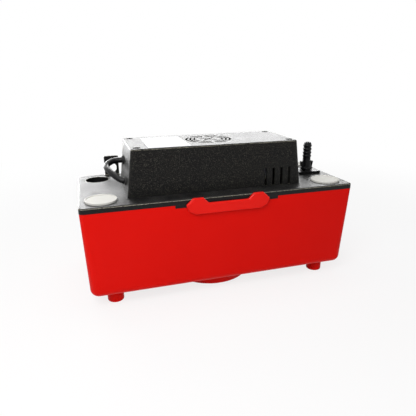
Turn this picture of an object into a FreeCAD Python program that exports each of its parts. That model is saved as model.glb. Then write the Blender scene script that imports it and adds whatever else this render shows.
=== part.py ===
"""Tank-type condensate pump: tank, lid with motor cover, shaded-pole motor, centrifugal pump,
float switch and check valve, each piece as its own solid."""
import FreeCAD, Part
import os
from math import asin, atan2, cos, degrees, hypot, pi, radians, sin, sqrt, tan
from FreeCAD import Vector

os.makedirs("parts", exist_ok=True)

# All sizes are in millimetres. The origin is on the floor, under the middle of the tank.
# X runs along the tank, Y from front to back, Z up.

# Cuts run this far past the faces that they open.
over = 1.0

# Lid
lid_length = 281.0
lid_width = 124.0
lid_corner_r = 4.5
deck_z = 105.4
deck_t = 3.0
rim_height = 5.4
rim_t = 5.7
lip_drop = 5.0
lip_t = 2.0
lip_clear = 0.5
lip_corner_r = 3.0
skirt_drop = 2.8
skirt_half_length = 53.0
skirt_clear = 0.3
boss_depth = 6.4
boss_wall = 2.4

# Tank
tank_inset = 0.1
tank_wall = 3.0
tank_floor_z = 12.4
tank_end_draft = 2.7
tank_side_draft = 2.1
tank_edge_r_low = 9.0
tank_bottom_r = 8.0
sump_z = 2.0
sump_margin = 16.5
sump_draft = 2.5
sump_edge_r = 1.5

# Feet
foot_inset_x = 26.5
foot_inset_y = 20.3
foot_r = 8.2
foot_edge_r = 1.2
stub_r = 4.6
stub_length = 8.0
foot_clear = 0.05

# Latches
latch_t = 2.7
latch_gap = 0.35
latch_drop = 15.5
latch_tip_drop = 5.8
latch_strip_drop = 5.1
latch_rise = 0.6
latch_half_bottom = 34.0
latch_half_length = 43.0
latch_knee_inset = 2.6
latch_knee_rise = 3.4
latch_lobe_outer = 36.0
latch_lobe_inner = 26.0
latch_strip_half = 20.5
latch_corner_r = 1.6
latch_chamfer = 0.7
bead_r = 1.3
bead_clear = 0.1
bead_depth = 0.8
bead_half_length = 30.0
bead_end_clear = 0.5
bead_height = 1.4
neck_t = 1.2

# Inlets and plugs
station_inset = 20.8
inlet_inset_y = 20.8
inlet_r = 12.7
inlet_collar_wall = 1.5
inlet_collar_depth = 6.0
plug_r = 15.1
plug_t = 2.0
plug_edge_r = 0.6
plug_dish = 0.5
plug_rim = 1.6
plug_wall = 1.4
plug_depth = 8.0
plug_clear = 0.35
plug_slit = 2.0

# Wall ears
ear_inset_x = 38.8
ear_half_width = 8.1
ear_height = 22.6
ear_t = 2.6
ear_set_back = 0.6
ear_hole_r = 5.6
ear_hole_rise = 8.8
ear_corner_r = 1.5

# Motor cover
cover_x = -3.0
cover_y = -4.2
cover_margin_x = 48.7
cover_margin_y = 22.8
cover_draft_x = 5.8
cover_draft_y = 1.7
cover_wall = 2.3
cover_edge_r = 3.4
cover_edge_r_low = 4.4
cover_top_r = 1.6
fan_headroom = 0.9
recess_inset_x = 12.3
recess_inset_y = 9.2
recess_r = 3.8
recess_floor = 10.6
post_wall = 1.7
grille_slot = 2.3
grille_pitch = 4.05
grille_outer_r = 24.4
grille_rings = 3
grille_spoke = 2.6
grille_spoke_angles = (45, 90, 135, 225, 270, 315)
grille_cross = 2.4
grille_cross_half = 10.6
grille_cross_angles = (45, 135)
vent_count = 4
vent_end_inset = 14.4
vent_pitch = 8.9
vent_width = 2.9
vent_low = 0.6
vent_high = 18.8
label_length = 42.0
label_depth = 62.4
label_t = 0.3
label_corner_r = 1.0
label_inset = 22.6
label_front = 2.2

# Screws
cover_screw_r = 1.75
cover_screw_head_r = 3.3
cover_screw_head_t = 2.5
cover_screw_reach = 7.0
screw_edge_r = 0.9
screw_clear = 0.06
hex_socket_depth = 1.1
hex_socket_half = 1.5

# Motor
stack_low = 8.6
stack_t = 18.5
stack_share_y = 0.714
stack_share_x = 0.632
stack_chamfer = 7.0
bore_share = 0.5
bore_wall = 12.0
window_wall = 8.0
window_share = 0.536
leg_share = 0.24
shade_wall = 2.6
shade_span = 6.0
shade_wire = 1.6
shade_slot = 2.0
bolt_share = 0.786
bolt_r = 2.0
bolt_head_half = 3.1
bolt_head_t = 2.8
nut_half_flat = 3.5
nut_t = 3.0
thread_end = 1.5
post_r = 4.6
stack_screw_inset = 7.0
stack_screw_r = 1.75
stack_screw_head_r = 3.2
stack_screw_head_t = 2.2
stack_screw_bite = 0.8
rotor_gap = 0.5
rotor_overhang = 1.5
shaft_r = 3.0
shaft_end = 0.6
shaft_chamfer = 0.5
running_fit = 0.05
bracket_t = 1.6
bracket_width = 13.0
bracket_rise = 4.0
bracket_foot_share = 0.755
bracket_flat_share = 0.693
bracket_foot_over = 1.0
bearing_r = 6.0
bearing_length = 5.2
bearing_set = 0.8
bearing_chamfer = 0.6
cup_wall = 2.0
cup_length = 3.6

# Coil
bobbin_wall = 1.2
bobbin_clear = 0.4
flange_t = 1.4
flange_overhang = 8.6
coil_end_gap = 0.6
winding_build = 6.2
winding_corner_r = 4.0

# Fan
fan_r = 22.5
fan_hub_r = 5.5
fan_height = 6.2
fan_lift = 2.2
fan_blades = 7
fan_blade_t = 1.2
fan_chord = 7.2
fan_pitch = 32.0

# Pump
column_r = 10.0
column_wall = 2.5
column_flange_t = 3.0
column_foot_r = 16.0
column_head_r = 14.0
column_arm_half = 5.0
column_windows = 3
column_window_w = 7.0
column_window_h = 26.0
column_window_angle = 30.0
intake_gap = 4.0
intake_t = 2.5
intake_r = 6.5
strainer_slots = 8
strainer_w = 1.6
strainer_near = 8.5
strainer_far = 13.0
volute_height = 10.5
volute_roof = 2.5
volute_wall = 2.2
volute_start_r = 18.0
volute_growth = 1.5
outlet_length = 14.0
lug_radius = 28.0
lug_r = 4.5
lug_angles = (110.0, 225.0, 320.0)
lug_screw_r = 1.5
lug_screw_head_r = 2.9
lug_screw_head_t = 1.8
lug_screw_edge_r = 0.6
lug_screw_short = 0.4
impeller_r = 15.0
impeller_hub_r = 5.0
impeller_disc_t = 1.4
impeller_gap = 0.6
vane_count = 6
vane_t = 1.3
vane_r = 9.3
vane_x = 7.8
vane_y = 6.0
vane_sink = 0.5
shaft_in_hub = 0.4
bushing_length = 7.5
bushing_fit = 0.02
slinger_r = 6.2
slinger_t = 1.5
slinger_drop = 4.4
shaft_hole_r = 5.0
roof_hole_clear = 0.6

# Discharge
nipple_r = 4.4
nipple_bore = 3.0
nipple_length = 8.5
hose_r = 6.4
hose_inner_r = 4.5
hose_rise = 26.5
hose_bend_r = 18.0
hose_end_gap = 0.5
valve_half_x = 13.5
valve_half_y = 11.0
valve_plate_t = 3.0
valve_plate_r = 2.0
valve_r = 8.0
valve_bore = 6.0
valve_fit = 0.05
valve_hole_clear = 0.3
spigot_depth = 10.8
spigot_end_gap = 0.4
chamber_r = 5.2
seat_r = 3.0
seat_drop = 23.4
seat_floor = 2.0
seat_height = 2.2
ball_r = 4.0
ball_clear = 0.1
lock_nut_half_flat = 11.0
lock_nut_t = 6.0
lug_lock_r = 6.9
lug_lock_half = 12.0
lug_lock_low = 6.4
lug_lock_high = 4.4
lock_groove_clear = 0.2
lock_groove_r_clear = 0.1
lock_groove_extra = 2.0
lock_turn = 60.0
lock_angles = (90.0, 270.0)
collar_r = 7.6
collar_t = 3.4
finger_in = 5.9
finger_out = 7.5
finger_half = 3.0
finger_height = 7.2
finger_edge_r = 0.5
stem_r_low = 5.0
stem_r_high = 4.3
stem_height = 13.2
stem_shoulder = 5.0
stem_taper = 2.5
stem_end = 0.5
barb_count = 4
barb_pitch = 4.0
barb_crest = 5.0
barb_step = 0.12
barb_root = 4.1
barb_land = 0.5
adapter_bore = 2.7
ring_major = 5.1
ring_minor = 0.86
ring_drop = 3.4
ring_groove_clear = 0.1

# Float and switches
rod_inset = 29.0
rod_r = 2.5
rod_clear = 0.1
rod_head_r = 4.0
rod_head_t = 2.0
rod_collar_r = 5.0
rod_collar_t = 2.5
rod_end = 1.0
float_share = 0.366
float_half_y = 27.0
float_y = -5.0
float_clear = 6.7
float_height = 20.0
float_edge_r = 4.0
float_travel = 22.0
bushing_depth = 8.0
bushing_wall = 2.2
lever_length = 36.0
lever_back_gap = 16.0
lever_rise = 16.1
lever_half_t = 1.0
lever_half_w = 3.0
lever_tip_r = 2.0
tip_gap = 0.3
heel_half_x = 6.4
heel_half_y = 4.5
heel_high = 2.6
heel_low = 3.0
pin_r = 1.5
pin_over = 0.8
plunger_r = 1.2
plunger_offset = 1.7
plunger_gap = 0.15
plunger_bore_depth = 6.0
plunger_end_gap = 0.5
switch_t = 6.4
switch_front = 11.0
switch_length = 20.0
switch_height = 10.2
switch_rise = 6.9
switch_gap = 0.3
cheek_t = 2.0
cheek_gap = 0.6
cheek_front = 12.0
cheek_back = 8.0
cheek_over = 0.4
bracket_base_t = 2.0
bracket_screw_inset = 4.0
bracket_screw_reach = 4.0
switch_screw_r = 1.0
switch_screw_head_r = 1.9
switch_screw_head_t = 1.2
switch_screw_over = 1.5
switch_screw_front = (-8.2, 7.6)
switch_screw_back = (6.6, 2.6)
terminal_w = 3.2
terminal_t = 0.5
terminal_h = 5.4
terminal_pitch = 7.0
terminal_hole_r = 0.7
terminal_hole_drop = 2.0

# Cord loop. Each grommet's place is (Y from the cover's middle, height over the deck). Each point of
# the loop is (distance out from the foot of the cover's left end, Y from its middle, height over the deck).
cord_r = 3.1
grommet_flange_r = 4.8
grommet_body_r = 4.2
grommet_flange_t = 1.6
grommet_inside = 1.6
grommet_edge_r = 0.6
grommet_upper = (17.3, 26.4)
grommet_lower = (-15.4, 11.6)
cord_points = [
    (4.2, 18.1, 26.3),
    (9.6, 16.5, 25.5),
    (13.8, 13.2, 23.8),
    (15.6, 8.0, 21.6),
    (13.8, 0.9, 19.7),
    (10.6, -5.6, 17.4),
    (7.2, -10.4, 14.8),
    (3.8, -13.6, 12.8),
]

# Places and sizes that follow from the ones above
tank_top_z = deck_z - rim_height
deck_low_z = deck_z - deck_t
tank_half_x = lid_length / 2 - tank_inset
tank_half_y = lid_width / 2 - tank_inset
foot_x = tank_half_x - foot_inset_x
foot_y = tank_half_y - foot_inset_y
station_x = lid_length / 2 - station_inset
inlet_y = lid_width / 2 - inlet_inset_y
ear_x = lid_length / 2 - ear_inset_x

sump_r_top = lid_width / 2 - sump_margin
sump_r_bottom = sump_r_top - sump_draft

latch_bottom_z = deck_z - latch_drop
latch_back_y = lid_width / 2 + latch_gap
bead_z = latch_bottom_z + bead_height
wall_slope_y = tank_side_draft / (tank_top_z - tank_floor_z)
bead_y = tank_half_y - wall_slope_y * (tank_top_z - bead_z) - bead_depth

cover_half_x = lid_length / 2 - cover_margin_x
cover_half_y = lid_width / 2 - cover_margin_y

motor_x = cover_x
motor_y = cover_y
stack_half_y = stack_share_y * cover_half_y
stack_coil_end = stack_share_x * cover_half_x
bore_r = bore_share * stack_half_y
stack_rotor_end = bore_r + bore_wall
window_near = bore_r + window_wall
window_half_y = window_share * stack_half_y
leg_width = leg_share * stack_coil_end
shade_x = bore_r + shade_wall
bolt_y = bolt_share * stack_half_y
stack_screw_x = stack_coil_end - stack_screw_inset
bracket_foot_in = bracket_foot_share * bolt_y
bracket_flat_half = bracket_flat_share * bracket_foot_in
coil_half_y = window_half_y - coil_end_gap
stack_low_z = deck_z + stack_low
stack_top_z = stack_low_z + stack_t
leg_near = stack_coil_end - leg_width
rotor_r = bore_r - rotor_gap
upper_strap_z = stack_top_z + bracket_rise
lower_strap_z = stack_low_z - bracket_rise
fan_z = upper_strap_z + cup_length + fan_lift
fan_mid_z = fan_z + fan_height / 2

cover_top_z = fan_z + fan_height + fan_headroom + cover_wall
cover_height = cover_top_z - deck_z
cover_top_half_y = cover_half_y - cover_draft_y
recess_x = cover_half_x - recess_inset_x
recess_y = cover_half_y - recess_inset_y
recess_z = deck_z + recess_floor

column_top_z = deck_low_z
flange_low_z = column_top_z - column_flange_t
intake_low_z = sump_z + tank_wall + intake_gap
volute_low_z = intake_low_z + intake_t
volute_top_z = volute_low_z + volute_height
base_flange_z = volute_top_z + column_flange_t
column_inner_r = column_r - column_wall
impeller_low_z = volute_low_z + impeller_gap
impeller_top_z = volute_top_z - volute_roof - impeller_gap
shaft_low_z = impeller_low_z + shaft_in_hub
shaft_top_z = fan_z + fan_height - shaft_end
outlet_half = 2 * volute_growth
outlet_x = motor_x + volute_start_r + outlet_half
outlet_y = motor_y + outlet_length
slinger_z = flange_low_z - slinger_drop

hose_level = volute_top_z + hose_rise
plate_top_z = deck_z + valve_plate_t
seat_z = deck_z - seat_drop
valve_low_z = seat_z - seat_floor
spigot_low_z = deck_z - spigot_depth
ball_z = seat_z + sqrt(ball_r ** 2 - seat_r ** 2) + ball_clear

rod_x = cover_x - cover_half_x + rod_inset
float_half_x = float_share * (motor_x - rod_x)
float_low_z = tank_floor_z + tank_wall + float_clear
float_top_z = float_low_z + float_height
lever_pivot_y = cover_y + cover_half_y - lever_back_gap
lever_pivot_z = deck_z + lever_rise
lever_angle = degrees(asin(float_travel / 2 / lever_length))
rod_top_z = lever_pivot_z - float_travel / 2 - lever_tip_r - tip_gap
rod_y = lever_pivot_y - lever_length * (1 + cos(radians(lever_angle))) / 2
plunger_travel = 2 * plunger_offset * tan(radians(lever_angle))
plunger_y = lever_pivot_y - plunger_offset
switch_z = lever_pivot_z + switch_rise
cheek_front_y = lever_pivot_y - cheek_front
cheek_back_y = lever_pivot_y + cheek_back
cheek_inner = switch_t + switch_gap / 2 + cheek_gap
cheek_outer = cheek_inner + cheek_t


def box(x0, x1, y0, y1, z0, z1):
    """Block between two corners."""
    return Part.makeBox(x1 - x0, y1 - y0, z1 - z0, Vector(x0, y0, z0))


def rod(x, y, z0, z1, r):
    """Upright round bar."""
    return Part.makeCylinder(r, z1 - z0, Vector(x, y, z0))


def tube(x, y, z0, z1, r, r_in):
    """Upright round tube."""
    return rod(x, y, z0, z1, r).cut(rod(x, y, z0, z1, r_in))


def bar_x(x0, x1, y, z, r):
    """Round bar along X."""
    return Part.makeCylinder(r, x1 - x0, Vector(x0, y, z), Vector(1, 0, 0))


def cone(x, y, z0, z1, r0, r1):
    """Upright cone frustum."""
    return Part.makeCone(r0, r1, z1 - z0, Vector(x, y, z0))


def fuse(shapes):
    """Join shapes into one clean solid."""
    joined = shapes[0]
    if len(shapes) > 1:
        joined = joined.multiFuse(shapes[1:])
    return joined.removeSplitter()


def prism(points, z0, z1):
    """Upright block over an outline of (x, y) points."""
    corners = [Vector(x, y, z0) for x, y in points]
    face = Part.Face(Part.makePolygon(corners + corners[:1]))
    return face.extrude(Vector(0, 0, z1 - z0))


def turned(shape, x, y, angle):
    """Copy turned about an upright axis."""
    copy = shape.copy()
    copy.rotate(Vector(x, y, 0), Vector(0, 0, 1), angle)
    return copy


def mirrored_y(shape):
    """Copy mirrored front to back."""
    return shape.mirror(Vector(0, 0, 0), Vector(0, 1, 0))


def upright_edges(shape):
    """Edges that climb from the bottom of the shape to its top."""
    heights = [v.Z for v in shape.Vertexes]
    span = max(heights) - min(heights)
    return [e for e in shape.Edges if abs(e.Vertexes[0].Z - e.Vertexes[-1].Z) > 0.9 * span]


def edges_at(shape, z, tolerance=0.01):
    """Edges that lie flat at one height."""
    return [e for e in shape.Edges
            if abs(e.BoundBox.ZMin - z) < tolerance and abs(e.BoundBox.ZMax - z) < tolerance]


def plate(x, y, half_x, half_y, z0, z1, r):
    """Rounded rectangular plate."""
    block = box(x - half_x, x + half_x, y - half_y, y + half_y, z0, z1)
    return block.makeFillet(r, upright_edges(block))


def drafted(x, y, low, high, z0, z1, r_low, r_high):
    """Block with sloping walls, from its half sizes low down and high up."""
    wires = []
    for (hx, hy), z in ((low, z0), (high, z1)):
        corners = [Vector(x + sx * hx, y + sy * hy, z) for sx, sy in ((-1, -1), (1, -1), (1, 1), (-1, 1))]
        wires.append(Part.makePolygon(corners + corners[:1]))
    block = Part.makeLoft(wires, True, True)
    return block.makeFillet(r_low, r_high, upright_edges(block))


def hexagon(x, y, z0, z1, half_flat):
    """Upright hexagonal block."""
    r = half_flat / cos(pi / 6)
    return prism([(x + r * cos(k * pi / 3), y + r * sin(k * pi / 3)) for k in range(6)], z0, z1)


def sector(x, y, r, start, stop, z0, z1):
    """Upright pie slice between two angles."""
    slice_ = Part.makeCylinder(r, z1 - z0, Vector(x, y, z0), Vector(0, 0, 1), stop - start)
    return turned(slice_, x, y, start)


# Tank, feet and latches

def tank_block(inset, z0):
    """Outer or inner form of the tank, by its distance inside the outer face."""
    slope = (tank_top_z - z0) / (tank_top_z - tank_floor_z)
    high = (tank_half_x - inset, tank_half_y - inset)
    low = (high[0] - tank_end_draft * slope, high[1] - tank_side_draft * slope)
    corner_high = max(lid_corner_r - tank_inset - inset, lid_corner_r / 4)
    block = drafted(0, 0, low, high, z0, tank_top_z, tank_edge_r_low - inset, corner_high)
    return block.makeFillet(tank_bottom_r - inset, edges_at(block, z0))


def sump_cone(inset, z0, z1):
    """Round sump dish, outer or inner form."""
    slope = (sump_r_top - sump_r_bottom) / (tank_floor_z - sump_z)
    r0 = sump_r_bottom - inset + slope * (z0 - sump_z)
    dish = cone(motor_x, motor_y, z0, z1, r0, r0 + slope * (z1 - z0))
    return dish.makeFillet(sump_edge_r, edges_at(dish, z0))


def foot_places():
    return [(sx * foot_x, sy * foot_y) for sx in (-1, 1) for sy in (-1, 1)]


def make_tank():
    """Tank with its sump, foot stubs, skirt notches and latch grooves."""
    shell = fuse([tank_block(0, tank_floor_z), sump_cone(0, sump_z, tank_floor_z + tank_wall)])
    shell = shell.cut(tank_block(tank_wall, tank_floor_z + tank_wall))
    shell = shell.cut(sump_cone(tank_wall, sump_z + tank_wall, tank_floor_z + 2 * tank_wall))
    stub_low = tank_floor_z - stub_length
    stubs = [rod(x, y, stub_low, tank_floor_z + tank_wall / 2, stub_r) for x, y in foot_places()]
    shell = fuse([shell] + stubs)
    half = skirt_half_length + skirt_clear
    notch = box(-half, half, -lid_width, lid_width, tank_top_z - skirt_drop - skirt_clear, tank_top_z + over)
    shell = shell.cut(notch)
    reach = bead_half_length + bead_end_clear
    grooves = [bar_x(-reach, reach, side * bead_y, bead_z, bead_r + bead_clear) for side in (-1, 1)]
    return shell.cut(Part.makeCompound(grooves))


def make_feet():
    """Four round feet, each a boot over a stub of the tank."""
    feet = []
    envelope = tank_block(0, tank_floor_z)
    for x, y in foot_places():
        foot = rod(x, y, 0, tank_floor_z + tank_bottom_r, foot_r)
        foot = foot.makeFillet(foot_edge_r, edges_at(foot, 0))
        socket = rod(x, y, tank_floor_z - stub_length, tank_floor_z + tank_bottom_r, stub_r + foot_clear)
        feet.append(foot.cut(envelope).cut(socket).Solids[0])
    return Part.makeCompound(feet)


def latch_outline():
    """Half outline of the latch bar, from its middle bottom to its middle top, as (x, z)."""
    return [
        (latch_half_bottom, latch_bottom_z),
        (latch_half_length - latch_knee_inset, latch_bottom_z + latch_knee_rise),
        (latch_half_length, deck_z - latch_tip_drop),
        (latch_lobe_outer, deck_z + latch_rise),
        (latch_lobe_inner, deck_z + latch_rise),
        (latch_strip_half, deck_z - latch_strip_drop),
    ]


def make_latch():
    """Front latch: a bar with two finger lobes and the bead that it turns on."""
    half = latch_outline()
    points = half + [(-x, z) for x, z in reversed(half)]
    corners = [Vector(x, -latch_back_y, z) for x, z in points]
    face = Part.Face(Part.makePolygon(corners + corners[:1]))
    bar = face.extrude(Vector(0, -latch_t, 0))
    across = [e for e in bar.Edges if e.BoundBox.YLength > 0.9 * latch_t]
    bar = bar.makeFillet(latch_corner_r, across)
    front_y = -latch_back_y - latch_t
    front = [e for e in bar.Edges if e.BoundBox.YMax < front_y + 0.01]
    bar = bar.makeChamfer(latch_chamfer, front)
    bead = bar_x(-bead_half_length, bead_half_length, -bead_y, bead_z, bead_r)
    neck = box(-bead_half_length, bead_half_length, -latch_back_y - latch_t / 2, -bead_y,
               bead_z - neck_t / 2, bead_z + neck_t / 2)
    return fuse([bar, neck, bead])


# Lid

def inlet_places():
    return [(sx * station_x, sy * inlet_y) for sx in (-1, 1) for sy in (-1, 1)]


def recess_places():
    return [(cover_x + sx * recess_x, cover_y + sy * recess_y) for sx in (-1, 1) for sy in (-1, 1)]


def bracket_screw_places():
    return [(rod_x, cheek_front_y + bracket_screw_inset), (rod_x, cheek_back_y - bracket_screw_inset)]


def make_ear(x):
    """Wall-hanging ear with its round hole."""
    back = lid_width / 2 - ear_set_back
    ear = box(x - ear_half_width, x + ear_half_width, back - ear_t, back, deck_z - over, deck_z + ear_height)
    top = [e for e in ear.Edges if e.BoundBox.YLength > 0.9 * ear_t and e.BoundBox.ZMin > deck_z]
    ear = ear.makeFillet(ear_corner_r, top)
    hole = Part.makeCylinder(ear_hole_r, 3 * ear_t, Vector(x, back - 2 * ear_t, deck_z + ear_hole_rise), Vector(0, 1, 0))
    return ear.cut(hole)


def make_lid():
    """Lid with rim, locating lip, skirts, inlet collars, ears, motor posts and screw bosses."""
    half_x = lid_length / 2
    half_y = lid_width / 2
    shell = plate(0, 0, half_x, half_y, tank_top_z, deck_z, lid_corner_r)
    pocket = plate(0, 0, half_x - rim_t, half_y - rim_t, tank_top_z - over, deck_low_z, lip_corner_r - lip_t)
    shell = shell.cut(pocket)
    lip_x = tank_half_x - tank_wall - lip_clear
    lip_y = tank_half_y - tank_wall - lip_clear
    lip_z = tank_top_z - lip_drop
    lip = plate(0, 0, lip_x, lip_y, lip_z, tank_top_z + over, lip_corner_r)
    lip = lip.cut(plate(0, 0, lip_x - lip_t, lip_y - lip_t, lip_z - over, deck_z, lip_corner_r - lip_t))
    skirt_in = half_y - tank_wall - tank_inset
    skirts = [box(-skirt_half_length, skirt_half_length, y0, y1, tank_top_z - skirt_drop, tank_top_z + over)
              for y0, y1 in ((-half_y, -skirt_in), (skirt_in, half_y))]
    collars = [rod(x, y, deck_low_z - inlet_collar_depth, deck_z - over, inlet_r + inlet_collar_wall)
               for x, y in inlet_places()]
    ears = [make_ear(sx * ear_x) for sx in (-1, 1)]
    post_top_z = stack_low_z - bracket_t
    posts = [rod(motor_x, motor_y + sy * bolt_y, deck_z - over, post_top_z, post_r) for sy in (-1, 1)]
    posts += [rod(motor_x + stack_screw_x, motor_y + sy * bolt_y, deck_z - over, stack_low_z, post_r) for sy in (-1, 1)]
    bosses = [rod(x, y, deck_low_z - boss_depth, deck_z - over, cover_screw_r + boss_wall) for x, y in recess_places()]
    bosses += [rod(x, y, deck_low_z - boss_depth, deck_z - over, lug_screw_r + boss_wall)
               for x, y in bracket_screw_places()]
    bosses += [rod(rod_x, rod_y, deck_low_z - bushing_depth, deck_z - over, rod_r + bushing_wall)]
    shell = fuse([shell, lip] + skirts + collars + ears + posts + bosses)
    low = deck_low_z - bushing_depth - over
    high = deck_z + over
    holes = [rod(x, y, low, high, inlet_r) for x, y in inlet_places()]
    holes += [rod(x, y, deck_z - cover_screw_reach - over, deck_z + over, cover_screw_r + screw_clear)
              for x, y in recess_places()]
    holes += [rod(x, y, deck_low_z - bracket_screw_reach - over, high, lug_screw_r + screw_clear)
              for x, y in bracket_screw_places()]
    holes += [rod(rod_x, rod_y, low, high, rod_r + rod_clear)]
    holes += [rod(motor_x, motor_y + sy * bolt_y, low, post_top_z + over, bolt_r + screw_clear) for sy in (-1, 1)]
    holes += [rod(motor_x + stack_screw_x, motor_y + sy * bolt_y, deck_z - over, stack_low_z + over,
                  stack_screw_r + screw_clear) for sy in (-1, 1)]
    holes += [rod(motor_x, motor_y, low, high, shaft_hole_r)]
    holes += [rod(station_x, 0, low, high, valve_r + valve_hole_clear)]
    return shell.cut(Part.makeCompound(holes))


def make_plug(x, y):
    """Press-in inlet plug: a thin dished cap over a split skirt."""
    cap = rod(x, y, deck_z, deck_z + plug_t, plug_r)
    cap = cap.makeFillet(plug_edge_r, edges_at(cap, deck_z + plug_t))
    cap = cap.cut(rod(x, y, deck_z + plug_t - plug_dish, deck_z + plug_t + over, plug_r - plug_rim))
    skirt_r = inlet_r - plug_clear
    skirt = tube(x, y, deck_z - plug_depth, deck_z + plug_t / 2, skirt_r, skirt_r - plug_wall)
    slots = [box(x - plug_slit / 2, x + plug_slit / 2, y - plug_r, y + plug_r, deck_z - plug_depth - over,
                 deck_z - plug_slit)]
    slots.append(turned(slots[0], x, y, 90))
    return fuse([cap, skirt.cut(Part.makeCompound(slots))])


# Motor cover

def cover_block(inset, z1):
    """Outer or inner form of the cover, by its distance inside the outer face."""
    low = (cover_half_x - inset, cover_half_y - inset)
    share = (z1 - deck_z) / cover_height
    high = (low[0] - cover_draft_x * share, low[1] - cover_draft_y * share)
    return drafted(cover_x, cover_y, low, high, deck_z, z1, cover_edge_r_low - inset, cover_edge_r - inset)


def grille_cut():
    """Rings of arc slots with a crossed pair of slots in the middle."""
    z0 = cover_top_z - 2 * cover_wall
    z1 = cover_top_z + over
    cuts = []
    for k in range(grille_rings):
        outer = grille_outer_r - k * grille_pitch
        ring = tube(cover_x, cover_y, z0, z1, outer, outer - grille_slot)
        spokes = [turned(box(cover_x, cover_x + 2 * grille_outer_r, cover_y - grille_spoke / 2,
                             cover_y + grille_spoke / 2, z0 - over, z1 + over), cover_x, cover_y, angle)
                  for angle in grille_spoke_angles]
        cuts += ring.cut(Part.makeCompound(spokes)).Solids
    arm = box(cover_x - grille_cross_half, cover_x + grille_cross_half, cover_y - grille_cross / 2,
              cover_y + grille_cross / 2, z0, z1)
    cuts.append(fuse([turned(arm, cover_x, cover_y, angle) for angle in grille_cross_angles]))
    return Part.makeCompound(cuts)


def vent_cut():
    """Upright slots low in the front and back walls."""
    cuts = []
    last = cover_x + cover_half_x - vent_end_inset
    for k in range(vent_count):
        x = last - k * vent_pitch
        cuts.append(box(x - vent_width / 2, x + vent_width / 2, cover_y - 2 * cover_half_y,
                        cover_y + 2 * cover_half_y, deck_z + vent_low, deck_z + vent_high))
    return Part.makeCompound(cuts)


def grommet_axis(place):
    """Y and Z of a grommet's axis."""
    return cover_y + place[0], deck_z + place[1]


def make_cover():
    """Motor cover with recessed screw posts, grille, vents and cord holes."""
    outer = cover_block(0, cover_top_z)
    outer = outer.makeFillet(cover_top_r, edges_at(outer, cover_top_z))
    inner = cover_block(cover_wall, cover_top_z - cover_wall)
    shell = outer.cut(inner)
    posts = [rod(x, y, deck_z, cover_top_z - cover_wall / 2, recess_r + post_wall) for x, y in recess_places()]
    posts = [post.common(outer) for post in posts]
    shell = fuse([shell] + posts)
    cuts = [rod(x, y, recess_z, cover_top_z + over, recess_r) for x, y in recess_places()]
    cuts += [rod(x, y, deck_z - over, recess_z + over, cover_screw_r + screw_clear) for x, y in recess_places()]
    shell = shell.cut(Part.makeCompound(cuts))
    posts_only = Part.makeCompound([rod(x, y, deck_z, cover_top_z, recess_r + post_wall) for x, y in recess_places()])
    shell = shell.cut(vent_cut().cut(posts_only))
    shell = shell.cut(grille_cut())
    for place in (grommet_upper, grommet_lower):
        y, z = grommet_axis(place)
        shell = shell.cut(bar_x(cover_x - cover_half_x - over, cover_x - recess_x, y, z, grommet_body_r))
    return shell


def make_cover_screws():
    """Four pan-head screws down in the recesses."""
    screws = []
    for x, y in recess_places():
        head = rod(x, y, recess_z, recess_z + cover_screw_head_t, cover_screw_head_r)
        head = head.makeFillet(screw_edge_r, edges_at(head, recess_z + cover_screw_head_t))
        shank = rod(x, y, deck_z - cover_screw_reach, recess_z + over, cover_screw_r)
        socket = hexagon(x, y, recess_z + cover_screw_head_t - hex_socket_depth, cover_top_z, hex_socket_half)
        screws.append(fuse([head, shank]).cut(socket).Solids[0])
    return Part.makeCompound(screws)


def make_label():
    """Bare label on the cover's top."""
    front = cover_y - cover_top_half_y + label_front
    left = cover_x - cover_half_x + label_inset
    return plate(left + label_length / 2, front + label_depth / 2, label_length / 2, label_depth / 2,
                 cover_top_z, cover_top_z + label_t, label_corner_r)


# Motor

def make_laminations():
    """Stator stack: a frame with the rotor bore at one end and the coil leg at the other."""
    near = motor_x - stack_rotor_end
    far = motor_x + stack_coil_end
    c = stack_chamfer
    front = motor_y - stack_half_y
    back = motor_y + stack_half_y
    outline = [(near + c, front), (far, front), (far, back), (near + c, back), (near, back - c), (near, front + c)]
    stack = prism(outline, stack_low_z, stack_top_z)
    window = box(motor_x + window_near, motor_x + leg_near, motor_y - window_half_y, motor_y + window_half_y,
                 stack_low_z - over, stack_top_z + over)
    holes = [window, rod(motor_x, motor_y, stack_low_z - over, stack_top_z + over, bore_r)]
    for sy in (-1, 1):
        y = motor_y + sy * bolt_y
        holes.append(rod(motor_x, y, stack_low_z - over, stack_top_z + over, bolt_r + screw_clear))
        holes.append(rod(motor_x + stack_screw_x, y, stack_low_z - over, stack_top_z + over, stack_screw_r + screw_clear))
    return stack.cut(Part.makeCompound(holes + shade_slots()))


def shade_slots():
    """Two pairs of small slots beside the bore, for the shading rings."""
    slots = []
    for side in (-1, 1):
        x = motor_x + side * shade_x
        half = shade_slot / 2
        for y in (motor_y, motor_y + 2 * side * shade_span):
            slots.append(box(x - half, x + half, y - half, y + half, stack_low_z - over, stack_top_z + over))
    return slots


def make_shading_rings():
    """Two closed copper loops through the stack."""
    rings = []
    half = shade_wire / 2
    for side in (-1, 1):
        x = motor_x + side * shade_x
        y = motor_y + side * shade_span
        outer = box(x - half, x + half, y - shade_span - half, y + shade_span + half,
                    stack_low_z - shade_wire, stack_top_z + shade_wire)
        inner = box(x - over - half, x + over + half, y - shade_span + half, y + shade_span - half, stack_low_z,
                    stack_top_z)
        rings.append(outer.cut(inner))
    return Part.makeCompound(rings)


def coil_frame(grow, length_half):
    """Block round the coil leg, by how far it stands off the steel."""
    return box(motor_x + leg_near - grow, motor_x + stack_coil_end + grow, motor_y - length_half,
               motor_y + length_half, stack_low_z - grow, stack_top_z + grow)


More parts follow.
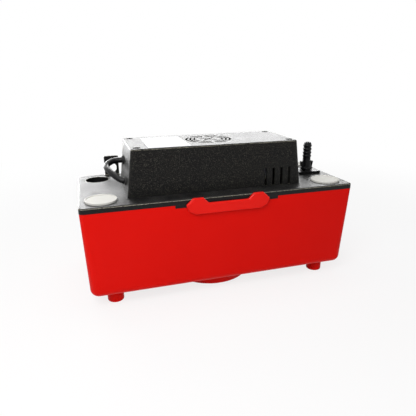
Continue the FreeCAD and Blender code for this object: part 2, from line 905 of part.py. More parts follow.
def make_bobbin():
    """Bobbin with a square flange at each end."""
    body = coil_frame(bobbin_clear + bobbin_wall, coil_half_y)
    ends = coil_frame(flange_overhang, coil_half_y).cut(coil_frame(flange_overhang + over, coil_half_y - flange_t))
    shape = fuse([body, ends])
    return shape.cut(coil_frame(bobbin_clear, coil_half_y + over))


def make_winding():
    """Taped copper winding between the flanges."""
    half = coil_half_y - flange_t
    outer = coil_frame(bobbin_clear + bobbin_wall + winding_build, half)
    along = [e for e in outer.Edges if e.BoundBox.YLength > half]
    outer = outer.makeFillet(winding_corner_r, along)
    return outer.cut(coil_frame(bobbin_clear + bobbin_wall, half + over))


def make_rotor():
    """Rotor core on the shaft."""
    return tube(motor_x, motor_y, stack_low_z - rotor_overhang, stack_top_z + rotor_overhang, rotor_r,
                shaft_r + running_fit)


def make_shaft():
    """Motor shaft, from the impeller up to the fan."""
    shaft = rod(motor_x, motor_y, shaft_low_z, shaft_top_z, shaft_r)
    ends = edges_at(shaft, shaft_low_z) + edges_at(shaft, shaft_top_z)
    return shaft.makeChamfer(shaft_chamfer, ends)


def bracket_profile(foot_z, strap_z, t):
    """Side outline of a bearing bracket: foot, slope, strap, slope, foot, as (y, z)."""
    outer = bolt_y + post_r + bracket_foot_over
    run = [(-outer, foot_z), (-bracket_foot_in, foot_z), (-bracket_flat_half, strap_z),
           (bracket_flat_half, strap_z), (bracket_foot_in, foot_z), (outer, foot_z)]
    return run + [(y, z + t) for y, z in reversed(run)]


def make_bracket(foot_z, strap_z, cup_low, cup_high):
    """Stamped bearing bracket over or under the stack, with its bearing cup."""
    corners = [Vector(motor_x - bracket_width / 2, motor_y + y, z)
               for y, z in bracket_profile(foot_z, strap_z, bracket_t)]
    strap = Part.Face(Part.makePolygon(corners + corners[:1])).extrude(Vector(bracket_width, 0, 0))
    cup = rod(motor_x, motor_y, cup_low, cup_high, bearing_r + cup_wall)
    shape = fuse([strap, cup])
    low = min(cup_low, foot_z) - over
    high = max(cup_high, foot_z + bracket_t) + over
    holes = [rod(motor_x, motor_y, low, high, bearing_r + running_fit)]
    holes += [rod(motor_x, motor_y + sy * bolt_y, low, high, bolt_r + screw_clear) for sy in (-1, 1)]
    return shape.cut(Part.makeCompound(holes))


def make_upper_bracket():
    """Bearing bracket over the rotor."""
    return make_bracket(stack_top_z, upper_strap_z, upper_strap_z, upper_strap_z + cup_length)


def make_lower_bracket():
    """Bearing bracket under the rotor."""
    strap_z = lower_strap_z - bracket_t
    return make_bracket(stack_low_z - bracket_t, strap_z, lower_strap_z - cup_length, lower_strap_z)


def make_bearing(z0):
    """Sleeve bearing."""
    sleeve = tube(motor_x, motor_y, z0, z0 + bearing_length, bearing_r, shaft_r + running_fit)
    outer = [e for e in sleeve.Edges if e.BoundBox.ZLength < 0.01 and e.BoundBox.XLength > 2 * bearing_r - 0.1]
    return sleeve.makeChamfer(bearing_chamfer, outer)


def make_bolts():
    """Two long bolts that tie bracket, stack, lid and pump column together."""
    bolts = []
    for sy in (-1, 1):
        y = motor_y + sy * bolt_y
        z = stack_top_z + bracket_t
        head = hexagon(motor_x, y, z, z + bolt_head_t, bolt_head_half)
        shank = rod(motor_x, y, flange_low_z - nut_t - thread_end, z + over, bolt_r)
        bolts.append(fuse([head, shank]))
    return Part.makeCompound(bolts)


def make_nuts():
    """Nuts under the column's top flange."""
    return Part.makeCompound([
        hexagon(motor_x, motor_y + sy * bolt_y, flange_low_z - nut_t, flange_low_z, nut_half_flat)
        .cut(rod(motor_x, motor_y + sy * bolt_y, flange_low_z - nut_t - over, flange_low_z + over,
                 bolt_r + screw_clear))
        for sy in (-1, 1)])


def make_stack_screws():
    """Two screws that hold the coil end of the stack to its posts."""
    screws = []
    for sy in (-1, 1):
        y = motor_y + sy * bolt_y
        x = motor_x + stack_screw_x
        head = rod(x, y, stack_top_z, stack_top_z + stack_screw_head_t, stack_screw_head_r)
        head = head.makeFillet(screw_edge_r, edges_at(head, stack_top_z + stack_screw_head_t))
        screws.append(fuse([head, rod(x, y, deck_z - stack_screw_bite, stack_top_z + over, stack_screw_r)]))
    return Part.makeCompound(screws)


def make_fan():
    """Cooling fan with pitched blades."""
    hub = rod(motor_x, motor_y, fan_z, fan_z + fan_height, fan_hub_r)
    blade = box(motor_x + fan_hub_r - fan_blade_t, motor_x + fan_r, motor_y - fan_chord / 2,
                motor_y + fan_chord / 2, fan_mid_z - fan_blade_t / 2, fan_mid_z + fan_blade_t / 2)
    blade.rotate(Vector(motor_x, motor_y, fan_mid_z), Vector(1, 0, 0), fan_pitch)
    disc = rod(motor_x, motor_y, fan_z, fan_z + fan_height, fan_r)
    blade = blade.common(disc)
    blades = [turned(blade, motor_x, motor_y, k * 360 / fan_blades) for k in range(fan_blades)]
    shape = fuse([hub] + blades)
    return shape.cut(rod(motor_x, motor_y, fan_z - over, shaft_top_z + running_fit, shaft_r + running_fit))


def make_slinger():
    """Rubber disc that throws water off the shaft."""
    return tube(motor_x, motor_y, slinger_z, slinger_z + slinger_t, slinger_r, shaft_r + running_fit)


# Pump

def lug_places():
    return [(motor_x + lug_radius * cos(radians(a)), motor_y + lug_radius * sin(radians(a))) for a in lug_angles]


def lug_arm(x, y, z0, z1, half):
    """Flat arm from the pump's axis out to a screw, with a round end."""
    reach = hypot(x - motor_x, y - motor_y)
    arm = box(motor_x, motor_x + reach, motor_y - half, motor_y + half, z0, z1)
    arm = turned(arm, motor_x, motor_y, degrees(atan2(y - motor_y, x - motor_x)))
    return [arm, rod(x, y, z0, z1, half)]


def make_column():
    """Pump column: a windowed tube with a flange at each end."""
    body = [rod(motor_x, motor_y, volute_top_z, column_top_z, column_r)]
    body.append(rod(motor_x, motor_y, volute_top_z, base_flange_z, column_foot_r))
    for x, y in lug_places():
        body += lug_arm(x, y, volute_top_z, base_flange_z, lug_r)
    body.append(rod(motor_x, motor_y, flange_low_z, column_top_z, column_head_r))
    for sy in (-1, 1):
        body += lug_arm(motor_x, motor_y + sy * bolt_y, flange_low_z, column_top_z, column_arm_half)
    shape = fuse(body)
    low = volute_top_z - over
    cuts = [rod(motor_x, motor_y, low, column_top_z + over, column_inner_r)]
    cuts += [rod(x, y, low, base_flange_z + over, lug_screw_r + screw_clear) for x, y in lug_places()]
    cuts += [rod(motor_x, motor_y + sy * bolt_y, flange_low_z - over, column_top_z + over, bolt_r + screw_clear)
             for sy in (-1, 1)]
    window_z = (base_flange_z + flange_low_z) / 2
    for k in range(column_windows):
        window = box(motor_x, motor_x + column_r + over, motor_y - column_window_w / 2,
                     motor_y + column_window_w / 2, window_z - column_window_h / 2, window_z + column_window_h / 2)
        cuts.append(turned(window, motor_x, motor_y, column_window_angle + k * 360 / column_windows))
    return shape.cut(Part.makeCompound(cuts))


def make_bushing():
    """Lower shaft bushing in the column's foot."""
    return tube(motor_x, motor_y, volute_top_z, volute_top_z + bushing_length, column_inner_r - bushing_fit,
                shaft_r + running_fit)


def volute_face(offset, z):
    """Spiral of four arcs that widens into a straight outlet along +Y."""
    r0 = volute_start_r + offset
    g = volute_growth
    centres = [(0, 0), (0, -g), (g, -g), (g, 0)]
    edges = []
    for k, (cx, cy) in enumerate(centres):
        r = r0 + k * g
        start = k * pi / 2
        marks = [Vector(motor_x + cx + r * cos(start + t * pi / 4), motor_y + cy + r * sin(start + t * pi / 4), z)
                 for t in (0, 1, 2)]
        edges.append(Part.Arc(*marks).toShape())
    end = Vector(motor_x + g + r0 + 3 * g, motor_y, z)
    begin = Vector(motor_x + r0, motor_y, z)
    edges.append(Part.makeLine(end, begin))
    return Part.Face(Part.Wire(edges))


def volute_solid(offset, z0, z1):
    """Volute body or chamber with the duct out to the nipple."""
    spiral = volute_face(offset, z0).extrude(Vector(0, 0, z1 - z0))
    half = outlet_half + offset
    duct = box(outlet_x - half, outlet_x + half, motor_y, outlet_y, z0, z1)
    return fuse([spiral, duct, rod(outlet_x, outlet_y, z0, z1, half)])


def make_volute():
    """Volute body, open below, with its upright outlet nipple."""
    body = [volute_solid(volute_wall, volute_low_z, volute_top_z)]
    for x, y in lug_places():
        body += lug_arm(x, y, volute_low_z, volute_top_z, lug_r)
    body.append(rod(outlet_x, outlet_y, volute_top_z - over, volute_top_z + nipple_length, nipple_r))
    shape = fuse(body)
    low = volute_low_z - over
    cuts = [volute_solid(0, low, volute_top_z - volute_roof)]
    cuts += [rod(x, y, low, volute_top_z + over, lug_screw_r + screw_clear) for x, y in lug_places()]
    cuts.append(rod(motor_x, motor_y, low, volute_top_z + over, shaft_r + roof_hole_clear))
    cuts.append(rod(outlet_x, outlet_y, low, volute_top_z + nipple_length + over, nipple_bore))
    return shape.cut(Part.makeCompound(cuts))


def make_intake_plate():
    """Intake plate under the volute, with its eye and strainer slots."""
    body = [volute_solid(volute_wall, intake_low_z, volute_low_z)]
    for x, y in lug_places():
        body += lug_arm(x, y, intake_low_z, volute_low_z, lug_r)
    shape = fuse(body)
    low = intake_low_z - over
    high = volute_low_z + over
    cuts = [rod(motor_x, motor_y, low, high, intake_r)]
    cuts += [rod(x, y, low, high, lug_screw_r + screw_clear) for x, y in lug_places()]
    slot = box(motor_x + strainer_near, motor_x + strainer_far, motor_y - strainer_w / 2,
               motor_y + strainer_w / 2, low, high)
    cuts += [turned(slot, motor_x, motor_y, k * 360 / strainer_slots) for k in range(strainer_slots)]
    return shape.cut(Part.makeCompound(cuts))


def make_volute_screws():
    """Three screws up through plate and volute into the column's foot."""
    screws = []
    for x, y in lug_places():
        head = rod(x, y, intake_low_z - lug_screw_head_t, intake_low_z, lug_screw_head_r)
        head = head.makeFillet(lug_screw_edge_r, edges_at(head, intake_low_z - lug_screw_head_t))
        shank = rod(x, y, intake_low_z - lug_screw_head_t / 2, base_flange_z - lug_screw_short, lug_screw_r)
        screws.append(fuse([head, shank]))
    return Part.makeCompound(screws)


def make_impeller():
    """Open impeller: a disc with curved vanes below it."""
    hub = rod(motor_x, motor_y, impeller_low_z, impeller_top_z, impeller_hub_r)
    disc = rod(motor_x, motor_y, impeller_top_z - impeller_disc_t, impeller_top_z, impeller_r)
    vane = tube(motor_x + vane_x, motor_y + vane_y, impeller_low_z, impeller_top_z - vane_sink, vane_r,
                vane_r - vane_t)
    keep = box(motor_x, motor_x + impeller_r, motor_y - impeller_r, motor_y + vane_y, impeller_low_z, impeller_top_z)
    vane = vane.common(keep).common(rod(motor_x, motor_y, impeller_low_z, impeller_top_z, impeller_r))
    vane = max(vane.Solids, key=lambda piece: piece.Volume)
    vanes = [turned(vane, motor_x, motor_y, k * 360 / vane_count) for k in range(vane_count)]
    shape = fuse([hub, disc] + vanes)
    return shape.cut(rod(motor_x, motor_y, shaft_low_z - running_fit, impeller_top_z + over, shaft_r + running_fit))


# Discharge and check valve

def hose_path():
    """Up from the volute, across, and up again into the valve, in one upright plane."""
    start = Vector(outlet_x, outlet_y, volute_top_z + over)
    reach = Vector(station_x - outlet_x, -outlet_y, 0)
    along = Vector(reach).normalize()
    up = Vector(0, 0, 1)
    r = hose_bend_r
    low = Vector(start.x, start.y, hose_level - r)
    low_end = Vector(start.x, start.y, hose_level) + along * r
    low_mid = Vector(start.x, start.y, hose_level) + along * (r - r * cos(pi / 4)) - up * (r - r * sin(pi / 4))
    foot = Vector(station_x, 0, hose_level)
    high_start = foot - along * r
    high_end = foot + up * r
    high_mid = foot - along * (r - r * sin(pi / 4)) + up * (r - r * cos(pi / 4))
    top = Vector(station_x, 0, valve_low_z - hose_end_gap)
    return [Part.makeLine(start, low), Part.Arc(low, low_mid, low_end).toShape(), Part.makeLine(low_end, high_start),
            Part.Arc(high_start, high_mid, high_end).toShape(), Part.makeLine(high_end, top)]


def swept(edges, r):
    """Round bar along a path of lines and tangent arcs."""
    start = edges[0].Vertexes[0].Point
    ring = Part.Wire(Part.makeCircle(r, start, edges[0].tangentAt(edges[0].FirstParameter)))
    return Part.Wire(edges).makePipeShell([ring], True, False)


def make_hose():
    """Discharge hose from the volute's nipple to the check valve's."""
    edges = hose_path()
    return swept(edges, hose_r).cut(swept(edges, hose_inner_r))


def lock_sector(r, start, stop, z0, z1):
    """Slice of the valve's bore wall, for a twist-lock lug or its groove."""
    return sector(station_x, 0, r, start, stop, z0, z1)


def make_valve_body():
    """Check valve body: plate on the deck, bore with twist-lock grooves, seat and lower nipple."""
    top = plate_top_z
    body = [plate(station_x, 0, valve_half_x, valve_half_y, deck_z, top, valve_plate_r)]
    body.append(rod(station_x, 0, valve_low_z, deck_z + over, valve_r))
    body.append(rod(station_x, 0, valve_low_z - nipple_length, valve_low_z + over, nipple_r))
    shape = fuse(body)
    cuts = [rod(station_x, 0, spigot_low_z - spigot_end_gap, top + over, valve_bore)]
    cuts.append(rod(station_x, 0, seat_z + seat_height, top, chamber_r))
    cuts.append(cone(station_x, 0, seat_z, seat_z + seat_height, seat_r, chamber_r))
    cuts.append(rod(station_x, 0, valve_low_z - nipple_length - over, seat_z + over, seat_r))
    shape = shape.cut(fuse(cuts))
    low = deck_z - lug_lock_low - lock_groove_clear
    high = deck_z - lug_lock_high + lock_groove_clear
    half = lug_lock_half + lock_groove_extra
    r = lug_lock_r + lock_groove_r_clear
    grooves = []
    for base in lock_angles:
        grooves.append(lock_sector(r, base - half, base + lock_turn + half, low, high))
        grooves.append(lock_sector(r, base + lock_turn - half, base + lock_turn + half, low, top + over))
    return shape.cut(Part.makeCompound(grooves))


def make_lock_nut():
    """Hexagonal nut that clamps the valve body under the deck."""
    nut = hexagon(station_x, 0, deck_low_z - lock_nut_t, deck_low_z, lock_nut_half_flat)
    return nut.cut(rod(station_x, 0, deck_low_z - lock_nut_t - over, deck_low_z + over, valve_r + running_fit))


def make_ball():
    """Valve ball on its seat."""
    return Part.makeSphere(ball_r, Vector(station_x, 0, ball_z))


def barb_profile(base_z):
    """Half outline of stem and barbs as (radius, height), from the collar up."""
    shoulder = base_z + stem_shoulder
    points = [(stem_r_low, base_z), (stem_r_low, shoulder), (stem_r_high, shoulder + stem_taper),
              (stem_r_high, base_z + stem_height - stem_end)]
    z = base_z + stem_height
    for k in range(barb_count):
        crest = barb_crest - barb_step * k
        points += [(barb_root, z), (crest, z), (crest, z + barb_land), (barb_root, z + barb_pitch)]
        z += barb_pitch
    return points


def make_adapter():
    """Barb adapter: twist-lock spigot, collar with two finger ears, stem and barbs."""
    top = plate_top_z
    base = top + collar_t
    profile = [(0, spigot_low_z), (valve_bore - valve_fit, spigot_low_z), (valve_bore - valve_fit, top),
               (collar_r, top), (collar_r, base)] + barb_profile(base)
    profile.append((0, profile[-1][1]))
    corners = [Vector(station_x + r, 0, z) for r, z in profile]
    shape = Part.Face(Part.makePolygon(corners + corners[:1])).revolve(Vector(station_x, 0, 0), Vector(0, 0, 1), 360)
    lugs = [lock_sector(lug_lock_r, angle - lug_lock_half, angle + lug_lock_half,
                        deck_z - lug_lock_low, deck_z - lug_lock_high)
            for angle in lock_angles]
    ears = []
    for side in (-1, 1):
        x0, x1 = sorted((side * finger_in, side * finger_out))
        ear = box(station_x + x0, station_x + x1, -finger_half, finger_half, base - over, base + finger_height)
        ears.append(ear.makeFillet(finger_edge_r, [e for e in ear.Edges if e.BoundBox.ZMin > base]))
    shape = fuse([shape] + lugs + ears)
    z = deck_z - ring_drop
    half = ring_minor + ring_groove_clear
    groove = tube(station_x, 0, z - half, z + half, valve_bore + over, ring_major - half)
    bore = rod(station_x, 0, spigot_low_z - over, profile[-1][1] + over, adapter_bore)
    return shape.cut(groove).cut(bore)


def make_o_ring():
    """O-ring in the adapter's groove."""
    return Part.makeTorus(ring_major, ring_minor, Vector(station_x, 0, deck_z - ring_drop))


# Float and switches

def make_float():
    """Float block on its rod."""
    block = box(rod_x - float_half_x, rod_x + float_half_x, float_y - float_half_y, float_y + float_half_y,
                float_low_z, float_top_z)
    block = block.makeFillet(float_edge_r, block.Edges)
    return block.cut(rod(rod_x, rod_y, float_low_z - over, float_top_z + over, rod_r + running_fit))


def make_rod():
    """Float rod with a collar on each side of the float and a head for the lever."""
    parts = [rod(rod_x, rod_y, float_low_z - rod_collar_t - rod_end, rod_top_z, rod_r)]
    parts.append(rod(rod_x, rod_y, float_low_z - rod_collar_t, float_low_z, rod_collar_r))
    parts.append(rod(rod_x, rod_y, float_top_z, float_top_z + rod_collar_t, rod_collar_r))
    parts.append(rod(rod_x, rod_y, rod_top_z - rod_head_t, rod_top_z, rod_head_r))
    return fuse(parts)


def make_lever():
    """Switch lever at rest: its arm hangs down to the rod's head."""
    heel = box(rod_x - heel_half_x, rod_x + heel_half_x, lever_pivot_y - heel_half_y, lever_pivot_y + heel_half_y,
               lever_pivot_z - heel_low, lever_pivot_z + heel_high)
    arm = box(rod_x - lever_half_w, rod_x + lever_half_w, lever_pivot_y - lever_length, lever_pivot_y,
              lever_pivot_z - lever_half_t, lever_pivot_z + lever_half_t)
    tip = bar_x(rod_x - lever_half_w, rod_x + lever_half_w, lever_pivot_y - lever_length, lever_pivot_z, lever_tip_r)
    shape = fuse([heel, arm, tip])
    shape = shape.cut(bar_x(rod_x - cheek_outer, rod_x + cheek_outer, lever_pivot_y, lever_pivot_z, pin_r + running_fit))
    shape.rotate(Vector(rod_x, lever_pivot_y, lever_pivot_z), Vector(1, 0, 0), lever_angle)
    return shape


def switch_places():
    """Inner X faces of the two switches, side by side."""
    step = (switch_t + switch_gap) / 2
    return [rod_x - step, rod_x + step]


def plunger_centre_z():
    """Height of a plunger's round tip centre over the lever's heel at rest."""
    slope = radians(lever_angle)
    return lever_pivot_z + (heel_high + plunger_r) / cos(slope) - plunger_offset * tan(slope) + plunger_gap


def make_switch(x):
    """Switch body with the bore of its plunger."""
    front = lever_pivot_y - switch_front
    body = box(x - switch_t / 2, x + switch_t / 2, front, front + switch_length, switch_z, switch_z + switch_height)
    cuts = [rod(x, plunger_y, switch_z - over, switch_z + plunger_bore_depth, plunger_r + running_fit)]
    cuts += [bar_x(x - switch_t, x + switch_t, y, z, switch_screw_r + screw_clear) for y, z in switch_screw_places()]
    return body.cut(Part.makeCompound(cuts))


def make_plunger(x):
    """Round-tipped switch plunger."""
    z = plunger_centre_z()
    top = switch_z + plunger_bore_depth - plunger_travel - plunger_end_gap
    return fuse([Part.makeSphere(plunger_r, Vector(x, plunger_y, z)), rod(x, plunger_y, z, top, plunger_r)])


def switch_screw_places():
    """Y and Z of the two screws through the switches."""
    return [(lever_pivot_y + y, switch_z + z) for y, z in (switch_screw_front, switch_screw_back)]


def make_switch_bracket():
    """Bracket with a base and two cheeks for the lever pin and the switches."""
    left = rod_x - cheek_outer
    right = rod_x + cheek_outer
    base_top = deck_z + bracket_base_t
    top = switch_z + switch_height + cheek_over
    parts = [box(left, right, cheek_front_y, cheek_back_y, deck_z, base_top)]
    for x0, x1 in ((left, left + cheek_t), (right - cheek_t, right)):
        parts.append(box(x0, x1, cheek_front_y, cheek_back_y, deck_z, top))
    shape = fuse(parts)
    cuts = [bar_x(left - over, right + over, lever_pivot_y, lever_pivot_z, pin_r + running_fit)]
    cuts += [bar_x(left - over, right + over, y, z, switch_screw_r + screw_clear) for y, z in switch_screw_places()]
    cuts += [rod(x, y, deck_z - over, base_top + over, lug_screw_r + screw_clear) for x, y in bracket_screw_places()]
    return shape.cut(Part.makeCompound(cuts))


def make_lever_pin():
    """Pin through both cheeks and the lever."""
    half = cheek_outer + pin_over
    return bar_x(rod_x - half, rod_x + half, lever_pivot_y, lever_pivot_z, pin_r)


def make_switch_screws():
    """Two long screws through the cheeks and both switches."""
    left = rod_x - cheek_outer
    right = rod_x + cheek_outer + switch_screw_over
    screws = []
    for y, z in switch_screw_places():
        head = bar_x(left - switch_screw_head_t, left, y, z, switch_screw_head_r)
        screws.append(fuse([head, bar_x(left - switch_screw_head_t / 2, right, y, z, switch_screw_r)]))
    return Part.makeCompound(screws)


def make_bracket_screws():
    """Two screws that hold the switch bracket to the deck."""
    screws = []
    top = deck_z + bracket_base_t
    for x, y in bracket_screw_places():
        head = rod(x, y, top, top + lug_screw_head_t, lug_screw_head_r)
        screws.append(fuse([head, rod(x, y, deck_low_z - bracket_screw_reach, top + over, lug_screw_r)]))
    return Part.makeCompound(screws)


def make_terminals():
    """Three flat terminals on top of each switch."""
    tabs = []
    top = switch_z + switch_height
    for x in switch_places():
        for k in (-1, 0, 1):
            y = lever_pivot_y - switch_front + switch_length / 2 + k * terminal_pitch
            tab = box(x - terminal_w / 2, x + terminal_w / 2, y - terminal_t / 2, y + terminal_t / 2,
                      top, top + terminal_h)
            hole = Part.makeCylinder(terminal_hole_r, 2 * over, Vector(x, y - over, top + terminal_h - terminal_hole_drop),
                                     Vector(0, 1, 0))
            tabs.append(tab.cut(hole))
    return Part.makeCompound(tabs)


# Cord loop

def cover_end_x(z):
    """X of the cover's left end face at one height."""
    return cover_x - cover_half_x + cover_draft_x * (z - deck_z) / cover_height


def make_grommets(cover):
    """Rubber grommets in the cover's left end."""
    rings = []
    for place in (grommet_upper, grommet_lower):
        y, z = grommet_axis(place)
        face_x = cover_end_x(z)
        flange = bar_x(face_x - grommet_flange_t, face_x + over, y, z, grommet_flange_r)
        rim = [e for e in flange.Edges if e.BoundBox.XMax < face_x - grommet_flange_t + 0.01]
        flange = flange.makeFillet(grommet_edge_r, rim)
        inside = bar_x(face_x, face_x + cover_wall + grommet_inside, y, z, grommet_body_r)
        ring = fuse([flange, inside])
        rings.append(max(ring.cut(cover).Solids, key=lambda s: s.Volume))
    return Part.makeCompound(rings)


def cord_route():
    """Points of the loop, from one grommet's outer face round to the other's."""
    ends = []
    for place in (grommet_upper, grommet_lower):
        y, z = grommet_axis(place)
        ends.append(Vector(cover_end_x(z) - grommet_flange_t, y, z))
    end_x = cover_x - cover_half_x
    loop = [Vector(end_x - out, cover_y + along, deck_z + rise) for out, along, rise in cord_points]
    return [ends[0]] + loop + [ends[1]]


def cord_path(points):
    """Straight runs joined by tangent arcs, with each arc's radius."""
    runs = [(points[k + 1] - points[k]).Length for k in range(len(points) - 1)]
    edges = []
    radii = []
    here = points[0]
    for k in range(1, len(points) - 1):
        before = (points[k] - points[k - 1]).normalize()
        after = (points[k + 1] - points[k]).normalize()
        half = before.getAngle(after) / 2
        setback = 0.45 * min(runs[k - 1], runs[k])
        radius = setback / tan(half)
        start = points[k] - before * setback
        stop = points[k] + after * setback
        inward = (after - before).normalize()
        middle = points[k] + inward * (radius / cos(half) - radius)
        edges.append(Part.LineSegment(here, start).toShape())
        edges.append(Part.Arc(start, middle, stop).toShape())
        radii.append(radius)
        here = stop
    edges.append(Part.LineSegment(here, points[-1]).toShape())
    return edges, radii


def make_cord():
    """Cord loop between the two grommets, trimmed flush with their faces."""
    route = cord_route()
    edges, radii = cord_path(route)
    length = sum(e.Length for e in edges)
    first = route[0] + (route[0] - route[1]).normalize() * cord_r
    last = route[-1] + (route[-1] - route[-2]).normalize() * cord_r
    edges.insert(0, Part.LineSegment(first, route[0]).toShape())
    edges.append(Part.LineSegment(route[-1], last).toShape())
    solid = swept(edges, cord_r)
    print("cord length", round(length, 1), "radii", [round(r, 1) for r in radii])
    print("cord volume", round(solid.Volume), "expected", round(pi * cord_r ** 2 * (length + 2 * cord_r)))
    trims = [box(end.x, end.x + 3 * cord_r, end.y - 3 * cord_r, end.y + 3 * cord_r, end.z - 3 * cord_r,
                 end.z + 3 * cord_r) for end in (route[0], route[-1])]
    return solid.cut(Part.makeCompound(trims)).Solids[0]


def build():
    """All nodes by name."""
    cover = make_cover()
    left, right = switch_places()
    front_latch = make_latch()
    return {
        "tank": make_tank(),
        "feet": make_feet(),
        "latch_front": front_latch,
        "latch_rear": mirrored_y(front_latch),
        "lid": make_lid(),
        "inlet_plug_front_left": make_plug(-station_x, -inlet_y),
        "inlet_plug_front_right": make_plug(station_x, -inlet_y),
        "inlet_plug_rear_right": make_plug(station_x, inlet_y),
        "motor_cover": cover,
        "cover_screws": make_cover_screws(),
        "blank_label": make_label(),
        "cord_grommets": make_grommets(cover),
        "cord_loop": make_cord(),
        "laminations": make_laminations(),
        "shading_rings": make_shading_rings(),
        "coil_bobbin": make_bobbin(),
        "coil_winding": make_winding(),
        "rotor": make_rotor(),
        "motor_shaft": make_shaft(),
        "upper_bracket": make_upper_bracket(),
        "lower_bracket": make_lower_bracket(),
        "upper_bearing": make_bearing(upper_strap_z - bearing_set),
        "lower_bearing": make_bearing(lower_strap_z + bearing_set - bearing_length),
        "motor_bolts": make_bolts(),
        "motor_nuts": make_nuts(),
        "stack_screws": make_stack_screws(),
        "cooling_fan": make_fan(),
        "shaft_slinger": make_slinger(),
        "pump_column": make_column(),
        "shaft_bushing": make_bushing(),
        "volute_body": make_volute(),
        "intake_plate": make_intake_plate(),
        "volute_screws": make_volute_screws(),
        "impeller": make_impeller(),
        "discharge_hose": make_hose(),
        "check_valve_body": make_valve_body(),
        "valve_lock_nut": make_lock_nut(),
        "valve_ball": make_ball(),
        "barb_adapter": make_adapter(),
        "adapter_o_ring": make_o_ring(),
        "float": make_float(),
        "float_rod": make_rod(),
        "switch_lever": make_lever(),
        "lever_pin": make_lever_pin(),
        "switch_bracket": make_switch_bracket(),
        "bracket_screws": make_bracket_screws(),
        "run_switch": make_switch(left),
        "overflow_switch": make_switch(right),
        "run_plunger": make_plunger(left),
        "overflow_plunger": make_plunger(right),
        "switch_screws": make_switch_screws(),
        "switch_terminals": make_terminals(),
    }


nodes = build()
for name, shape in nodes.items():
    shape.exportStep("parts/" + name + ".step")
print(len(nodes), "nodes written")
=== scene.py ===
import math

import bmesh
import bpy
from mathutils import Euler, Matrix, Vector


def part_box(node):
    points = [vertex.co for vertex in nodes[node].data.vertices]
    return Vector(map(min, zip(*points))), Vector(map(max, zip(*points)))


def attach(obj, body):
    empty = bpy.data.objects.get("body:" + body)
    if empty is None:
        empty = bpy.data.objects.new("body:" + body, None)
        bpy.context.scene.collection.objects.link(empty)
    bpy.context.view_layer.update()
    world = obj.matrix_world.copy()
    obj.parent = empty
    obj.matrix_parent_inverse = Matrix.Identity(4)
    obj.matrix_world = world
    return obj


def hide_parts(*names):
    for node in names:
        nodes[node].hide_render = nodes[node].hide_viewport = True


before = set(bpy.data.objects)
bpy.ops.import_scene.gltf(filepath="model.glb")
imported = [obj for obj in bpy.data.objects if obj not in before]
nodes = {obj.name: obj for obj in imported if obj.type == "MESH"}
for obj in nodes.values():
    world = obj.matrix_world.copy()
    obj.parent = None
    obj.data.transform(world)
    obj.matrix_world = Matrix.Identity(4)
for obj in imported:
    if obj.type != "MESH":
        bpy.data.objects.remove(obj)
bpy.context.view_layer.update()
scene = bpy.context.scene
scene.view_settings.view_transform = "Standard"
print("frame loaded, %d nodes" % len(nodes))


# camera, where the photograph was taken from

photoCamera = {
    "place": (-0.1279, -0.4146, 0.2187),
    "turn": 16.84,  # degrees that the view turns from +Y towards +X
    "tilt": -18.63,
    "roll": -0.42,
    "lens": 34.80,
    "sensor": 36.0,
}


def placeCamera(view):
    lens = bpy.data.cameras.new("photoCamera")
    lens.lens = view["lens"]
    lens.sensor_width = view["sensor"]
    camera = bpy.data.objects.new("photoCamera", lens)
    camera.location = view["place"]
    aim = Euler((math.radians(90 + view["tilt"]), 0, -math.radians(view["turn"]))).to_matrix()
    camera.rotation_euler = (aim @ Matrix.Rotation(math.radians(view["roll"]), 3, "Z")).to_euler()
    scene.collection.objects.link(camera)
    scene.camera = camera


placeCamera(photoCamera)


# small helpers

def addPiece(name, mesh):
    piece = bpy.data.objects.new(name, mesh)
    scene.collection.objects.link(piece)
    return piece


def smoothFaces(mesh, angle=35):
    mesh.shade_smooth()
    mesh.set_sharp_from_angle(angle=math.radians(angle))


def dress(material, *names):
    # a CAD node keeps its shape and takes a finish
    for name in names:
        piece = nodes[name]
        if not piece.material_slots:
            piece.data.materials.append(material)
        for place in piece.material_slots:
            place.material = material


# shader groups that several finishes share

def newGroup(name, inputs, outputs):
    group = bpy.data.node_groups.new(name, "ShaderNodeTree")
    for label, kind, value in inputs:
        socket = group.interface.new_socket(label, in_out="INPUT", socket_type=kind)
        if value is not None:
            socket.default_value = value
    for label, kind in outputs:
        group.interface.new_socket(label, in_out="OUTPUT", socket_type=kind)
    start = group.nodes.new("NodeGroupInput")
    end = group.nodes.new("NodeGroupOutput")
    return group, start, end


def addNode(tree, kind, settings=None, values=None):
    node = tree.nodes.new(kind)
    for key, value in (settings or {}).items():
        setattr(node, key, value)
    for key, value in (values or {}).items():
        node.inputs[key].default_value = value
    return node


def wire(tree, source, target):
    tree.links.new(source, target)


def scaledNoise(group, vector, scale, texture):
    noise = addNode(group, "ShaderNodeTexNoise", values={"Detail": texture[0], "Roughness": texture[1]})
    wire(group, vector, noise.inputs["Vector"])
    wire(group, scale, noise.inputs["Scale"])
    return noise.outputs["Fac"]


def remap(tree, value, band, reach=(0.0, 1.0)):
    node = addNode(tree, "ShaderNodeMapRange", {"clamp": True},
                   {"From Min": band[0], "From Max": band[1], "To Min": reach[0], "To Max": reach[1]})
    wire(tree, value, node.inputs["Value"])
    return node.outputs["Result"]


def mathNode(tree, operation, first, second):
    node = addNode(tree, "ShaderNodeMath", {"operation": operation})
    for socket, value in zip(node.inputs, (first, second)):
        if isinstance(value, (int, float)):
            socket.default_value = value
        else:
            wire(tree, value, socket)
    return node.outputs[0]


# in the next four, a noise is (detail, roughness) and a band is (from, to)

grainBands = {
    "coarseNoise": (2.0, 0.6),
    "fineNoise": (1.0, 0.5),
    "pits": (0.36, 0.66),
    "pitShare": 0.75,  # what the pits give to the height, the grit giving the rest
    "brightPits": (0.50, 0.72),
    "brightGrit": (0.45, 0.68),
}


